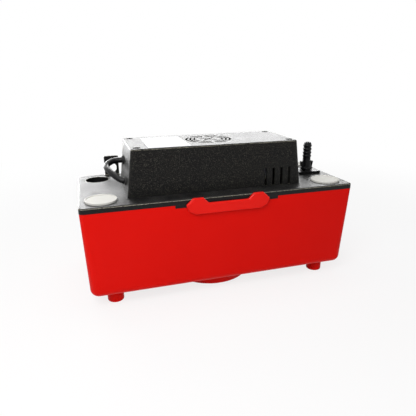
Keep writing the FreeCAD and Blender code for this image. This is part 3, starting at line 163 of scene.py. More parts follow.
def buildMouldGrain(bands):
    # spark-eroded mould surface: rounded pits with finer grit between them
    group, start, end = newGroup(
        "mouldGrain",
        [("Vector", "NodeSocketVector", None), ("Grain", "NodeSocketFloat", 700.0),
         ("Grit", "NodeSocketFloat", 2200.0)],
        [("Height", "NodeSocketFloat"), ("Speckle", "NodeSocketFloat")])
    coarse = scaledNoise(group, start.outputs["Vector"], start.outputs["Grain"], bands["coarseNoise"])
    fine = scaledNoise(group, start.outputs["Vector"], start.outputs["Grit"], bands["fineNoise"])
    pits = mathNode(group, "MULTIPLY", remap(group, coarse, bands["pits"]), bands["pitShare"])
    grit = mathNode(group, "MULTIPLY", fine, 1 - bands["pitShare"])
    height = mathNode(group, "ADD", pits, grit)
    speckle = mathNode(group, "MULTIPLY", remap(group, coarse, bands["brightPits"]),
                       remap(group, fine, bands["brightGrit"]))
    wire(group, height, end.inputs["Height"])
    wire(group, speckle, end.inputs["Speckle"])
    return group


smudgeBands = {
    "noise": (3.0, 0.62),
    "smudge": (0.32, 0.72),
}


def buildHandling(bands):
    # soft smudges of a handled moulding
    group, start, end = newGroup(
        "handling",
        [("Vector", "NodeSocketVector", None), ("Smudge", "NodeSocketFloat", 28.0)],
        [("Smudge", "NodeSocketFloat")])
    smudge = scaledNoise(group, start.outputs["Vector"], start.outputs["Smudge"], bands["noise"])
    wire(group, remap(group, smudge, bands["smudge"]), end.inputs["Smudge"])
    return group


dustLook = {
    "colour": (0.50, 0.49, 0.46),
    "noise": (4.0, 0.7),
    "facingUp": (0.55, 0.98),
    "clumps": (0.35, 0.75),
}


def buildDust(look):
    # dust on what faces up
    group, start, end = newGroup(
        "dust",
        [("Vector", "NodeSocketVector", None), ("Normal", "NodeSocketVector", None),
         ("Clumps", "NodeSocketFloat", 60.0)],
        [("Dust", "NodeSocketFloat")])
    split = addNode(group, "ShaderNodeSeparateXYZ")
    wire(group, start.outputs["Normal"], split.inputs["Vector"])
    up = remap(group, split.outputs["Z"], look["facingUp"])
    clumps = scaledNoise(group, start.outputs["Vector"], start.outputs["Clumps"], look["noise"])
    clumps = remap(group, clumps, look["clumps"])
    wire(group, mathNode(group, "MULTIPLY", up, clumps), end.inputs["Dust"])
    return group


wearBands = {
    "noise": (3.0, 0.6),
    "edge": (0.985, 0.86),  # cosine between the rounded normal and the face's own
    "upper": (0.12, 0.40),
    "roundFoot": (0.18, 0.34),
    "roundTop": (0.62, 0.42),
    "scuff": (0.30, 0.62),
    "samples": 6,
}


def buildEdgeWearAndHighlight(bands):
    # edge wear with painted highlight: a paler, scuffed line along outer edges that face up, painted where
    # they catch the light from above
    group, start, end = newGroup(
        "edgeWearAndHighlight",
        [("Vector", "NodeSocketVector", None), ("Width", "NodeSocketFloat", 0.0007),
         ("Scuff", "NodeSocketFloat", 420.0)],
        [("WearAndHighlight", "NodeSocketFloat")])
    rounded = addNode(group, "ShaderNodeBevel", {"samples": bands["samples"]})
    wire(group, start.outputs["Width"], rounded.inputs["Radius"])
    facing = addNode(group, "ShaderNodeNewGeometry").outputs["Normal"]
    along = addNode(group, "ShaderNodeVectorMath", {"operation": "DOT_PRODUCT"})
    wire(group, rounded.outputs["Normal"], along.inputs[0])
    wire(group, facing, along.inputs[1])
    edge = remap(group, along.outputs["Value"], bands["edge"])
    split = addNode(group, "ShaderNodeSeparateXYZ")
    wire(group, rounded.outputs["Normal"], split.inputs["Vector"])
    upper = remap(group, split.outputs["Z"], bands["upper"])
    # painted highlight on the lower half of a modelled round, where it catches the light
    slope = addNode(group, "ShaderNodeSeparateXYZ")
    wire(group, facing, slope.inputs["Vector"])
    roundEdge = mathNode(group, "MULTIPLY", remap(group, slope.outputs["Z"], bands["roundFoot"]),
                         remap(group, slope.outputs["Z"], bands["roundTop"]))
    edge = mathNode(group, "MAXIMUM", edge, roundEdge)
    scuff = scaledNoise(group, start.outputs["Vector"], start.outputs["Scuff"], bands["noise"])
    scuff = remap(group, scuff, bands["scuff"])
    wear = mathNode(group, "MULTIPLY", mathNode(group, "MULTIPLY", edge, upper), scuff)
    wire(group, wear, end.inputs["WearAndHighlight"])
    return group


mouldGrain = buildMouldGrain(grainBands)
handling = buildHandling(smudgeBands)
dust = buildDust(dustLook)
edgeWearAndHighlight = buildEdgeWearAndHighlight(wearBands)


def placeGroup(tree, group, vector, values):
    node = tree.nodes.new("ShaderNodeGroup")
    node.node_tree = group
    wire(tree, vector, node.inputs["Vector"])
    for key, value in values.items():
        node.inputs[key].default_value = value
    return node


def rgbaMix(tree, factor, first, second):
    node = addNode(tree, "ShaderNodeMix", {"data_type": "RGBA"})
    wire(tree, factor, node.inputs[0])
    for socket, value in ((node.inputs[6], first), (node.inputs[7], second)):
        if isinstance(value, tuple):
            socket.default_value = (*value, 1.0)
        else:
            wire(tree, value, socket)
    return node.outputs[2]


def newFinish(name):
    material = bpy.data.materials.new(name)
    material.use_nodes = True
    tree = material.node_tree
    spot = addNode(tree, "ShaderNodeTexCoord").outputs["Object"]
    return material, tree, tree.nodes["Principled BSDF"], spot


millimetre = 0.001  # looks give the depth of their grain in millimetres


def addRelief(tree, shader, height, depth):
    bump = addNode(tree, "ShaderNodeBump", values={"Strength": 1.0, "Distance": millimetre})
    wire(tree, mathNode(tree, "MULTIPLY", height, depth), bump.inputs["Height"])
    wire(tree, bump.outputs["Normal"], shader.inputs["Normal"])


def makePlastic(name, look):
    # moulded plastic or rubber: grain with painted glint speckle, smudges, dust, and edge wear with painted
    # highlight over one base colour
    material, tree, shader, spot = newFinish(name)
    facing = addNode(tree, "ShaderNodeNewGeometry").outputs["Normal"]
    grain = placeGroup(tree, mouldGrain, spot, {"Grain": look["grain"], "Grit": look["grit"]})
    touch = placeGroup(tree, handling, spot, {"Smudge": look["smudge"]})
    settled = placeGroup(tree, dust, spot, {})
    wire(tree, facing, settled.inputs["Normal"])

    # the grain's pale speckle is painted glints, where a grained surface catches light
    speckle = mathNode(tree, "MULTIPLY", grain.outputs["Speckle"], look["speckle"])
    colour = rgbaMix(tree, touch.outputs["Smudge"], look["colour"], look["shade"])
    colour = rgbaMix(tree, speckle, colour, look["spark"])
    dusty = mathNode(tree, "MULTIPLY", settled.outputs["Dust"], look["dust"])
    colour = rgbaMix(tree, dusty, colour, dustLook["colour"])
    # a paler edge line, partly wear and partly painted highlight
    if look["wear"]:
        worn = placeGroup(tree, edgeWearAndHighlight, spot, {"Width": look["wearWidth"]})
        wear = mathNode(tree, "MULTIPLY", worn.outputs["WearAndHighlight"], look["wear"])
        colour = rgbaMix(tree, wear, colour, look["worn"])
    wire(tree, colour, shader.inputs["Base Color"])

    rough = remap(tree, touch.outputs["Smudge"], (0.0, 1.0), (look["rough"], look["rough"] + look["smear"]))
    wire(tree, rough, shader.inputs["Roughness"])
    addRelief(tree, shader, grain.outputs["Height"], look["depth"])
    shader.inputs["Specular IOR Level"].default_value = look["specular"]
    return material


def plasticLook(colour, shade, **changes):
    look = {"colour": colour, "shade": shade, "spark": colour, "speckle": 0.0, "grain": 700.0, "grit": 2200.0,
            "depth": 0.06, "rough": 0.35, "smear": 0.08, "smudge": 28.0, "dust": 0.0,
            "specular": 0.3, "wear": 0.0, "wearWidth": 0.0010, "worn": (0.50, 0.47, 0.37)}
    look.update(changes)
    return look


def makeMetal(name, look):
    # worked metal: lines along one axis or a fine even tooth, with a slow change of tone
    material, tree, shader, spot = newFinish(name)
    stretch = addNode(tree, "ShaderNodeMapping", values={"Scale": look["stretch"]})
    wire(tree, spot, stretch.inputs["Vector"])
    grain = placeGroup(tree, mouldGrain, stretch.outputs["Vector"],
                       {"Grain": look["grain"], "Grit": look["grit"]})
    touch = placeGroup(tree, handling, spot, {"Smudge": look["smudge"]})
    colour = rgbaMix(tree, touch.outputs["Smudge"], look["colour"], look["shade"])
    wire(tree, colour, shader.inputs["Base Color"])
    rough = remap(tree, grain.outputs["Height"], (0.0, 1.0), (look["rough"], look["rough"] + look["smear"]))
    wire(tree, rough, shader.inputs["Roughness"])
    addRelief(tree, shader, grain.outputs["Height"], look["depth"])
    shader.inputs["Metallic"].default_value = 1.0
    return material


def metalLook(colour, shade, **changes):
    look = {"colour": colour, "shade": shade, "grain": 900.0, "grit": 3000.0, "depth": 0.02, "rough": 0.28,
            "smear": 0.16, "smudge": 70.0, "stretch": (1.0, 1.0, 1.0)}
    look.update(changes)
    return look


# finishes

redGloss = makePlastic("redGloss", plasticLook(
    (0.680, 0.0048, 0.0020), (0.645, 0.0040, 0.0015), rough=0.36, smear=0.05, depth=0.010, grain=420.0,
    smudge=7.0, specular=0.06))
# lit copy of the tank's red: painted lighter for the light the nearer latch catches, with a painted highlight
# along its edges
litLatchRed = makePlastic("litLatchRed", plasticLook(
    (0.760, 0.0090, 0.0050), (0.720, 0.0080, 0.0040), rough=0.30, smear=0.06, depth=0.010, grain=420.0,
    smudge=30.0, specular=0.12, wear=0.25, wearWidth=0.0006, worn=(0.90, 0.10, 0.08)))
# its pale speckle is painted glints of the grain; its edge line is wear with a painted highlight
blackGrained = makePlastic("blackGrained", plasticLook(
    (0.0060, 0.0060, 0.0064), (0.0080, 0.0078, 0.0074), spark=(0.165, 0.157, 0.122), speckle=0.75,
    grain=1150.0, grit=3000.0, depth=0.11, rough=0.33, smear=0.08, dust=0.04, specular=0.09, wear=0.55,
    wearWidth=0.0003))
# its pale speckle is painted glints of the grain; its edge line is wear with a painted highlight
blackDeck = makePlastic("blackDeck", plasticLook(
    (0.0050, 0.0050, 0.0054), (0.0070, 0.0070, 0.0070), spark=(0.060, 0.058, 0.052), speckle=0.4, grain=900.0,
    grit=2600.0, depth=0.20, rough=0.31, smear=0.08, dust=0.05, specular=0.15, wear=0.85))
blackFitting = makePlastic("blackFitting", plasticLook(
    (0.0040, 0.0040, 0.0046), (0.0070, 0.0070, 0.0078), grain=1300.0, depth=0.08, rough=0.24, smear=0.10,
    dust=0.03, specular=0.13))
creamCap = makePlastic("creamCap", plasticLook(
    (0.72, 0.71, 0.67), (0.67, 0.66, 0.62), grain=1500.0, depth=0.05, rough=0.70, smear=0.08, smudge=45.0,
    specular=0.04))
labelFilm = makePlastic("labelFilm", plasticLook(
    (0.79, 0.795, 0.80), (0.75, 0.76, 0.77), grain=2600.0, depth=0.02, rough=0.60, smear=0.06, smudge=36.0,
    specular=0.06))
# its dust on what faces up is partly dust and partly a painted highlight on the cord's upper side
cordSheath = makePlastic("cordSheath", plasticLook(
    (0.0060, 0.0060, 0.0066), (0.0090, 0.0090, 0.0096), grain=2100.0, depth=0.06, rough=0.22, smear=0.06,
    smudge=120.0, dust=0.12, specular=0.18))
blackRubber = makePlastic("blackRubber", plasticLook(
    (0.0130, 0.0130, 0.0130), (0.0220, 0.0220, 0.0220), grain=1700.0, depth=0.14, rough=0.55, smear=0.12,
    smudge=90.0, dust=0.08))
pumpPlastic = makePlastic("pumpPlastic", plasticLook(
    (0.0170, 0.0170, 0.0175), (0.0260, 0.0260, 0.0260), grain=1100.0, depth=0.10, rough=0.38, smear=0.12))
naturalNylon = makePlastic("naturalNylon", plasticLook(
    (0.70, 0.68, 0.60), (0.62, 0.60, 0.52), grain=1400.0, depth=0.06, rough=0.36, smear=0.10, smudge=60.0))
floatFoam = makePlastic("floatFoam", plasticLook(
    (0.66, 0.63, 0.54), (0.58, 0.55, 0.46), spark=(0.40, 0.38, 0.32), speckle=0.6, grain=950.0, grit=2000.0,
    depth=0.35, rough=0.72, smear=0.12))
hoseVinyl = makePlastic("hoseVinyl", plasticLook(
    (0.030, 0.031, 0.033), (0.050, 0.050, 0.052), grain=1200.0, depth=0.08, rough=0.32, smear=0.12))
switchBody = makePlastic("switchBody", plasticLook(
    (0.020, 0.019, 0.018), (0.030, 0.028, 0.026), grain=1800.0, depth=0.12, rough=0.48, smear=0.10))
plungerRed = makePlastic("plungerRed", plasticLook(
    (0.55, 0.06, 0.03), (0.45, 0.04, 0.02), grain=2200.0, depth=0.05, rough=0.34, smear=0.08))
zincPlate = makeMetal("zincPlate", metalLook((0.60, 0.60, 0.62), (0.50, 0.51, 0.54)))
groundSteel = makeMetal("groundSteel", metalLook(
    (0.62, 0.62, 0.64), (0.56, 0.56, 0.58), rough=0.18, smear=0.10, stretch=(1.0, 1.0, 9.0)))
stainless = makeMetal("stainless", metalLook((0.66, 0.66, 0.67), (0.60, 0.60, 0.61), rough=0.22))
coreSteel = makeMetal("coreSteel", metalLook(
    (0.26, 0.27, 0.30), (0.17, 0.18, 0.21), grain=240.0, depth=0.25, rough=0.42, smear=0.14,
    stretch=(0.15, 0.15, 9.0)))
castRotor = makeMetal("castRotor", metalLook((0.46, 0.46, 0.48), (0.36, 0.36, 0.39), rough=0.40, depth=0.05))
bareCopper = makeMetal("bareCopper", metalLook((0.72, 0.34, 0.19), (0.62, 0.26, 0.13), rough=0.24))
sinteredBronze = makeMetal("sinteredBronze", metalLook(
    (0.50, 0.34, 0.16), (0.40, 0.26, 0.12), grain=2400.0, depth=0.10, rough=0.44))
tinnedBrass = makeMetal("tinnedBrass", metalLook((0.66, 0.58, 0.38), (0.56, 0.48, 0.30), rough=0.26))

dress(redGloss, "tank", "feet")
dress(litLatchRed, "latch_front", "latch_rear")
dress(blackGrained, "motor_cover")
dress(creamCap, "inlet_plug_front_left", "inlet_plug_front_right", "inlet_plug_rear_right")
dress(labelFilm, "blank_label")
dress(blackFitting, "check_valve_body", "valve_lock_nut", "cooling_fan")
dress(pumpPlastic, "pump_column", "volute_body", "intake_plate", "switch_bracket")
dress(naturalNylon, "coil_bobbin", "shaft_bushing", "impeller", "float_rod", "switch_lever")
dress(floatFoam, "float")
dress(hoseVinyl, "discharge_hose")
dress(blackRubber, "shaft_slinger", "adapter_o_ring", "valve_ball")
dress(switchBody, "run_switch", "overflow_switch")
dress(plungerRed, "run_plunger", "overflow_plunger")
dress(zincPlate, "upper_bracket", "lower_bracket", "motor_bolts", "motor_nuts", "stack_screws",
      "bracket_screws", "switch_screws")
dress(groundSteel, "motor_shaft", "lever_pin")
dress(stainless, "volute_screws")
dress(coreSteel, "laminations")
dress(castRotor, "rotor")
dress(bareCopper, "shading_rings")
dress(sinteredBronze, "upper_bearing", "lower_bearing")
dress(tinnedBrass, "switch_terminals")
print("finishes placed")


# cord loop at the cover's left end

cordLoop = {
    "route": [
        (-0.09309, 0.0131, 0.1318), (-0.0990, 0.0139, 0.1317), (-0.1044, 0.0123, 0.1309),
        (-0.1086, 0.0090, 0.1292), (-0.1104, 0.0038, 0.1270), (-0.1086, -0.0033, 0.1251),
        (-0.1054, -0.0098, 0.1228), (-0.1020, -0.0146, 0.1202), (-0.0986, -0.0178, 0.1182),
        (-0.09495, -0.0196, 0.1170)],
    "thickness": 0.0062,
    "length": 0.0536,
    "roundSteps": 6,
    "lengthSteps": 12,
}


def layCord(cord):
    curve = bpy.data.curves.new("cordLoop", "CURVE")
    curve.dimensions = "3D"
    curve.bevel_depth = cord["thickness"] / 2
    curve.bevel_resolution = cord["roundSteps"]
    curve.resolution_u = cord["lengthSteps"]
    curve.use_fill_caps = True
    spline = curve.splines.new("NURBS")
    spline.points.add(len(cord["route"]) - 1)
    for point, place in zip(spline.points, cord["route"]):
        point.co = (*place, 1.0)
    spline.order_u = 3
    spline.use_endpoint_u = True
    curve.materials.append(cordSheath)
    piece = addPiece("cordLoop", curve)
    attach(piece, "pump_head")
    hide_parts("cord_loop")


layCord(cordLoop)
print("cord laid")


# turned pieces: an outline of (distance along, radius) spun about an axis

onAxis = 1e-7  # a smaller radius is a single point


def spinOutline(mesh, outline, origin, axis, segments):
    across = Vector((0, 0, 1)) if abs(axis.x) > 0.9 else Vector((1, 0, 0))
    side = axis.cross(across).normalized()
    across = side.cross(axis).normalized()
    rings = []
    for along, radius in outline:
        centre = origin + axis * along
        if radius < onAxis:
            rings.append([mesh.verts.new(centre)])
            continue
        rings.append([mesh.verts.new(centre + (across * math.cos(turn) + side * math.sin(turn)) * radius)
                      for turn in (2 * math.pi * k / segments for k in range(segments))])
    for low, high in zip(rings, rings[1:]):
        for k in range(segments):
            corners = []
            for corner in (low[k % len(low)], low[(k + 1) % len(low)],
                           high[(k + 1) % len(high)], high[k % len(high)]):
                if corner not in corners:
                    corners.append(corner)
            if len(corners) > 2:
                mesh.faces.new(corners)


def finishMesh(mesh, name, material, body, replaced, angle=35):
    # closes a bmesh into a piece that rides on a body
    bmesh.ops.recalc_face_normals(mesh, faces=mesh.faces)
    data = bpy.data.meshes.new(name)
    mesh.to_mesh(data)
    mesh.free()
    data.materials.append(material)
    smoothFaces(data, angle)
    piece = addPiece(name, data)
    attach(piece, body)
    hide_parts(replaced)
    return piece


# lid: the same moulding with the round that its top edge has

softLid = {
    "round": 0.0014,
    "segments": 4,
    "reach": 0.0050,  # how far in from the lid's outline an edge still counts as its outer edge
    "merge": 1e-6,
    "level": 1e-5,  # how near to the deck's height an edge has to lie
    "upright": 0.1,  # most that the upright face's normal points up or down
    "lying": 0.99,  # least that the lying face's does
    "plane": 0.9995,  # a face whose normal follows an axis this closely is shaded flat
}


def roundLid(lid):
    low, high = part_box("lid")
    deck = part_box("motor_cover")[0][2]  # the cover stands on the deck
    mesh = bmesh.new()
    mesh.from_mesh(nodes["lid"].data)
    bmesh.ops.remove_doubles(mesh, verts=mesh.verts, dist=lid["merge"])

    def onOutline(edge):
        if len(edge.link_faces) != 2 or any(abs(vert.co.z - deck) > lid["level"] for vert in edge.verts):
            return False
        up = sorted(abs(face.normal.z) for face in edge.link_faces)
        inner = any(abs(vert.co.x) < high[0] - lid["reach"] and abs(vert.co.y) < high[1] - lid["reach"]
                    for vert in edge.verts)
        return up[0] < lid["upright"] and up[1] > lid["lying"] and not inner

    edges = [edge for edge in mesh.edges if onOutline(edge)]
    bmesh.ops.bevel(mesh, geom=edges, offset=lid["round"], segments=lid["segments"], profile=0.5,
                    affect="EDGES", clamp_overlap=False)
    shell = finishMesh(mesh, "lidShell", blackDeck, "pump_head", "lid", angle=30)
    for face in shell.data.polygons:
        if max(abs(part) for part in face.normal) > lid["plane"]:
            face.use_smooth = False


roundLid(softLid)
print("lid rounded")


# rubber grommets where the cord enters the cover

cordGrommets = {
    "faces": [cordLoop["route"][0], cordLoop["route"][-1]],
    "outline": [(0.0010, 0.0), (0.0010, 0.0030), (0.0001, 0.00315), (0.0, 0.0034), (0.0, 0.0040),
                (0.0002, 0.0044), (0.0007, 0.0047), (0.0012, 0.0048), (0.0024, 0.0048), (0.0026, 0.0042),
                (0.0055, 0.0042), (0.0055, 0.0)],
    "segments": 48,
}


def makeGrommets(grommet):
    mesh = bmesh.new()
    for face in grommet["faces"]:
        spinOutline(mesh, grommet["outline"], Vector(face), Vector((1, 0, 0)), grommet["segments"])
    finishMesh(mesh, "cordGrommets", blackRubber, "pump_head", "cord_grommets")


makeGrommets(cordGrommets)
print("grommets made")


# Geometry Nodes: helpers for the trees below

def newTree(name, inputs):
    tree = bpy.data.node_groups.new(name, "GeometryNodeTree")
    tree.interface.new_socket("Geometry", in_out="INPUT", socket_type="NodeSocketGeometry")
    tree.interface.new_socket("Geometry", in_out="OUTPUT", socket_type="NodeSocketGeometry")
    for label, kind in inputs:
        tree.interface.new_socket(label, in_out="INPUT", socket_type=kind)
    return tree, tree.nodes.new("NodeGroupInput"), tree.nodes.new("NodeGroupOutput")


def closeTree(tree, geometry, material, end):
    real = tree.nodes.new("GeometryNodeRealizeInstances")
    paint = addNode(tree, "GeometryNodeSetMaterial", values={"Material": material})
    wire(tree, geometry, real.inputs[0])
    wire(tree, real.outputs[0], paint.inputs["Geometry"])
    wire(tree, paint.outputs[0], end.inputs["Geometry"])


def pointMesh(name, points):
    mesh = bpy.data.meshes.new(name)
    mesh.from_pydata(points, [], [])
    return mesh


def growPiece(name, base, tree, values, body, replaced, angle=35):
    # runs a tree once on the base mesh and keeps the result as a plain mesh
    piece = addPiece(name, base)
    maker = piece.modifiers.new(name, "NODES")
    maker.node_group = tree
    sockets = {item.name: item.identifier
               for item in tree.interface.items_tree if item.in_out == "INPUT"}
    for label, value in values.items():
        maker[sockets[label]] = value
    shape = bpy.data.meshes.new_from_object(piece.evaluated_get(bpy.context.evaluated_depsgraph_get()))
    piece.modifiers.clear()
    piece.data = shape
    smoothFaces(shape, angle)
    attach(piece, body)
    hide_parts(replaced)


# pan-head screws down in the cover's recesses

coverScrews = {
    "headRadius": 0.0033,
    "headHeight": 0.0025,
    "shankRadius": 0.00175,
    "socketRadius": 0.00173,
    "socketDepth": 0.0011,
    "sideShare": 0.6,  # of the head's height, the dome taking the rest
    "crownShare": 0.72,  # of the head's radius, where the dome ends
    "headSides": 40,
    "shankSides": 24,
    "socketSides": 6,
}


def growCoverScrews(screw):
    tree, start, end = newTree("coverScrews", [
        ("Head Radius", "NodeSocketFloat"), ("Head Height", "NodeSocketFloat"),
        ("Shank Radius", "NodeSocketFloat"), ("Shank Length", "NodeSocketFloat"),
        ("Socket Radius", "NodeSocketFloat"), ("Socket Depth", "NodeSocketFloat")])
    # the head is a short cylinder with a cone frustum on it as its dome
    side = addNode(tree, "GeometryNodeMeshCylinder", values={"Vertices": screw["headSides"]})
    dome = addNode(tree, "GeometryNodeMeshCone", values={"Vertices": screw["headSides"]})
    shank = addNode(tree, "GeometryNodeMeshCylinder", values={"Vertices": screw["shankSides"]})
    socket = addNode(tree, "GeometryNodeMeshCylinder", values={"Vertices": screw["socketSides"]})
    height = start.outputs["Head Height"]
    sideHeight = mathNode(tree, "MULTIPLY", height, screw["sideShare"])
    domeHeight = mathNode(tree, "MULTIPLY", height, 1 - screw["sideShare"])
    crown = mathNode(tree, "MULTIPLY", start.outputs["Head Radius"], screw["crownShare"])
    wire(tree, start.outputs["Head Radius"], side.inputs["Radius"])
    wire(tree, sideHeight, side.inputs["Depth"])
    wire(tree, crown, dome.inputs["Radius Top"])
    wire(tree, start.outputs["Head Radius"], dome.inputs["Radius Bottom"])
    wire(tree, domeHeight, dome.inputs["Depth"])
    wire(tree, start.outputs["Shank Radius"], shank.inputs["Radius"])
    wire(tree, start.outputs["Shank Length"], shank.inputs["Depth"])
    wire(tree, start.outputs["Socket Radius"], socket.inputs["Radius"])
    wire(tree, height, socket.inputs["Depth"])

    def lifted(geometry, rise):
        move = tree.nodes.new("GeometryNodeTransform")
        lift = tree.nodes.new("ShaderNodeCombineXYZ")
        wire(tree, rise, lift.inputs["Z"])
        wire(tree, lift.outputs[0], move.inputs["Translation"])
        wire(tree, geometry, move.inputs["Geometry"])
        return move.outputs[0]

    # heights count from the head's top, where the points are
    sideMid = mathNode(tree, "MULTIPLY", height, screw["sideShare"] / 2 - 1)
    domeFoot = mathNode(tree, "MULTIPLY", height, screw["sideShare"] - 1)
    shankMid = mathNode(tree, "MULTIPLY", mathNode(tree, "ADD", start.outputs["Shank Length"], height), -0.5)
    socketMid = mathNode(tree, "SUBTRACT", mathNode(tree, "MULTIPLY", height, 0.5),
                         start.outputs["Socket Depth"])
    head = addNode(tree, "GeometryNodeMeshBoolean", {"operation": "UNION", "solver": "EXACT"})
    for part in (lifted(side.outputs["Mesh"], sideMid), lifted(dome.outputs["Mesh"], domeFoot),
                 lifted(shank.outputs["Mesh"], shankMid)):
        wire(tree, part, head.inputs["Mesh 2"])
    cut = addNode(tree, "GeometryNodeMeshBoolean", {"operation": "DIFFERENCE", "solver": "EXACT"})
    wire(tree, head.outputs["Mesh"], cut.inputs["Mesh 1"])
    wire(tree, lifted(socket.outputs["Mesh"], socketMid), cut.inputs["Mesh 2"])
    place = tree.nodes.new("GeometryNodeInstanceOnPoints")
    wire(tree, start.outputs["Geometry"], place.inputs["Points"])
    wire(tree, cut.outputs["Mesh"], place.inputs["Instance"])
    closeTree(tree, place.outputs["Instances"], zincPlate, end)

    low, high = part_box("cover_screws")
    points = [(x, y, high[2]) for x in (low[0] + screw["headRadius"], high[0] - screw["headRadius"])
              for y in (low[1] + screw["headRadius"], high[1] - screw["headRadius"])]
    growPiece("coverScrews", pointMesh("coverScrews", points), tree, {
        "Head Radius": screw["headRadius"], "Head Height": screw["headHeight"],
        "Shank Radius": screw["shankRadius"], "Shank Length": high[2] - low[2] - screw["headHeight"],
        "Socket Radius": screw["socketRadius"], "Socket Depth": screw["socketDepth"],
    }, "pump_head", "cover_screws")


growCoverScrews(coverScrews)
print("cover screws grown")


# copper turns of the coil

coilTurns = {
    "wire": 0.00062,
    "swell": 0.54,  # the drawn radius as a share of the wire, so that neighbours touch
    "corner": 0.0040,
    "cornerSteps": 6,
    "wireSides": 8,
}


def growCoilTurns(coil):
    tree, start, end = newTree("coilTurns", [
        ("Width", "NodeSocketFloat"), ("Height", "NodeSocketFloat"), ("Wire", "NodeSocketFloat"),
        ("Corner", "NodeSocketFloat")])
    outlineCurve = tree.nodes.new("GeometryNodeCurvePrimitiveQuadrilateral")
    rounded = addNode(tree, "GeometryNodeFilletCurve", {"mode": "POLY"})
    rounded.inputs["Count"].default_value = coil["cornerSteps"]
    ring = addNode(tree, "GeometryNodeCurvePrimitiveCircle", values={"Resolution": coil["wireSides"]})
    skin = tree.nodes.new("GeometryNodeCurveToMesh")
    stand = addNode(tree, "GeometryNodeTransform", values={"Rotation": (math.pi / 2, 0.0, 0.0)})
    wire(tree, start.outputs["Width"], outlineCurve.inputs["Width"])
    wire(tree, start.outputs["Height"], outlineCurve.inputs["Height"])
    wire(tree, outlineCurve.outputs["Curve"], rounded.inputs["Curve"])
    wire(tree, start.outputs["Corner"], rounded.inputs["Radius"])
    wire(tree, mathNode(tree, "MULTIPLY", start.outputs["Wire"], coil["swell"]), ring.inputs["Radius"])
    wire(tree, rounded.outputs["Curve"], skin.inputs["Curve"])
    wire(tree, ring.outputs["Curve"], skin.inputs["Profile Curve"])
    wire(tree, skin.outputs["Mesh"], stand.inputs["Geometry"])
    place = tree.nodes.new("GeometryNodeInstanceOnPoints")
    wire(tree, start.outputs["Geometry"], place.inputs["Points"])
    wire(tree, stand.outputs["Geometry"], place.inputs["Instance"])
    closeTree(tree, place.outputs["Instances"], bareCopper, end)

    low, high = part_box("coil_winding")
    gauge = coil["wire"]
    turns = int((high[1] - low[1]) / gauge)
    first = (low[1] + high[1] - (turns - 1) * gauge) / 2
    middle = ((low[0] + high[0]) / 2, (low[2] + high[2]) / 2)
    points = [(middle[0], first + k * gauge, middle[1]) for k in range(turns)]
    growPiece("coilTurns", pointMesh("coilTurns", points), tree, {
        "Width": high[0] - low[0] - gauge, "Height": high[2] - low[2] - gauge, "Wire": gauge,
        "Corner": coil["corner"],
    }, "pump_head", "coil_winding", angle=60)


growCoilTurns(coilTurns)
print("coil turns grown")


# barb adapter: a turned body, two finger ears, and rings that repeat up the stem

barbAdapter = {
    # (height over the foot of the spigot, radius)
    "outline": [(0.0, 0.0), (0.0, 0.0055), (0.0004, 0.00595), (0.00644, 0.00595), (0.00644, 0.00414),
                (0.00836, 0.00414), (0.00836, 0.00595), (0.0136, 0.00595), (0.0136, 0.0056), (0.0150, 0.0054),
                (0.0152, 0.0072), (0.0155, 0.0076), (0.0168, 0.0076), (0.0172, 0.0073), (0.0174, 0.0064),
                (0.0180, 0.0056), (0.0222, 0.0053), (0.0246, 0.0046), (0.0290, 0.0044), (0.0448, 0.0042),
                (0.0456, 0.0039), (0.0462, 0.0035), (0.0464, 0.0030), (0.0464, 0.0)],
    "ring": {"count": 4, "first": 0.0304, "pitch": 0.0040, "crest": 0.0050, "half": 0.0030, "shrink": 0.004,
             "steps": 18},
    "bore": 0.0027,
    "drill": {"length": 0.2, "sides": 40},
    "ears": {"foot": (0.0048, 0.0061), "top": (0.0056, 0.0075), "half": (0.0031, 0.0027), "base": 0.0172,
             "height": 0.0071},
    "lugs": {"from": 0.0050, "to": 0.0069, "half": 0.00143, "low": 0.0044, "high": 0.0064},
    "edge": 0.00035,
    "segments": 56,
    "listAlong": (0.62, 0.37, 0.69),  # slanted, so that places differ along it
}


def addWedge(mesh, low, high, edge):
    # a six-sided block between two rectangles (x from, x to, y half, z), with its edges rounded
    corners = []
    for x0, x1, half, z in (low, high):
        corners += [mesh.verts.new(place)
                    for place in ((x0, -half, z), (x1, -half, z), (x1, half, z), (x0, half, z))]
    sides = [(3, 2, 1, 0), (4, 5, 6, 7), (0, 1, 5, 4), (1, 2, 6, 5), (2, 3, 7, 6), (3, 0, 4, 7)]
    faces = [mesh.faces.new([corners[k] for k in side]) for side in sides]
    bmesh.ops.recalc_face_normals(mesh, faces=faces)
    edges = list(dict.fromkeys(line for face in faces for line in face.edges))
    bmesh.ops.bevel(mesh, geom=edges, offset=edge, segments=2, profile=0.5, affect="EDGES")


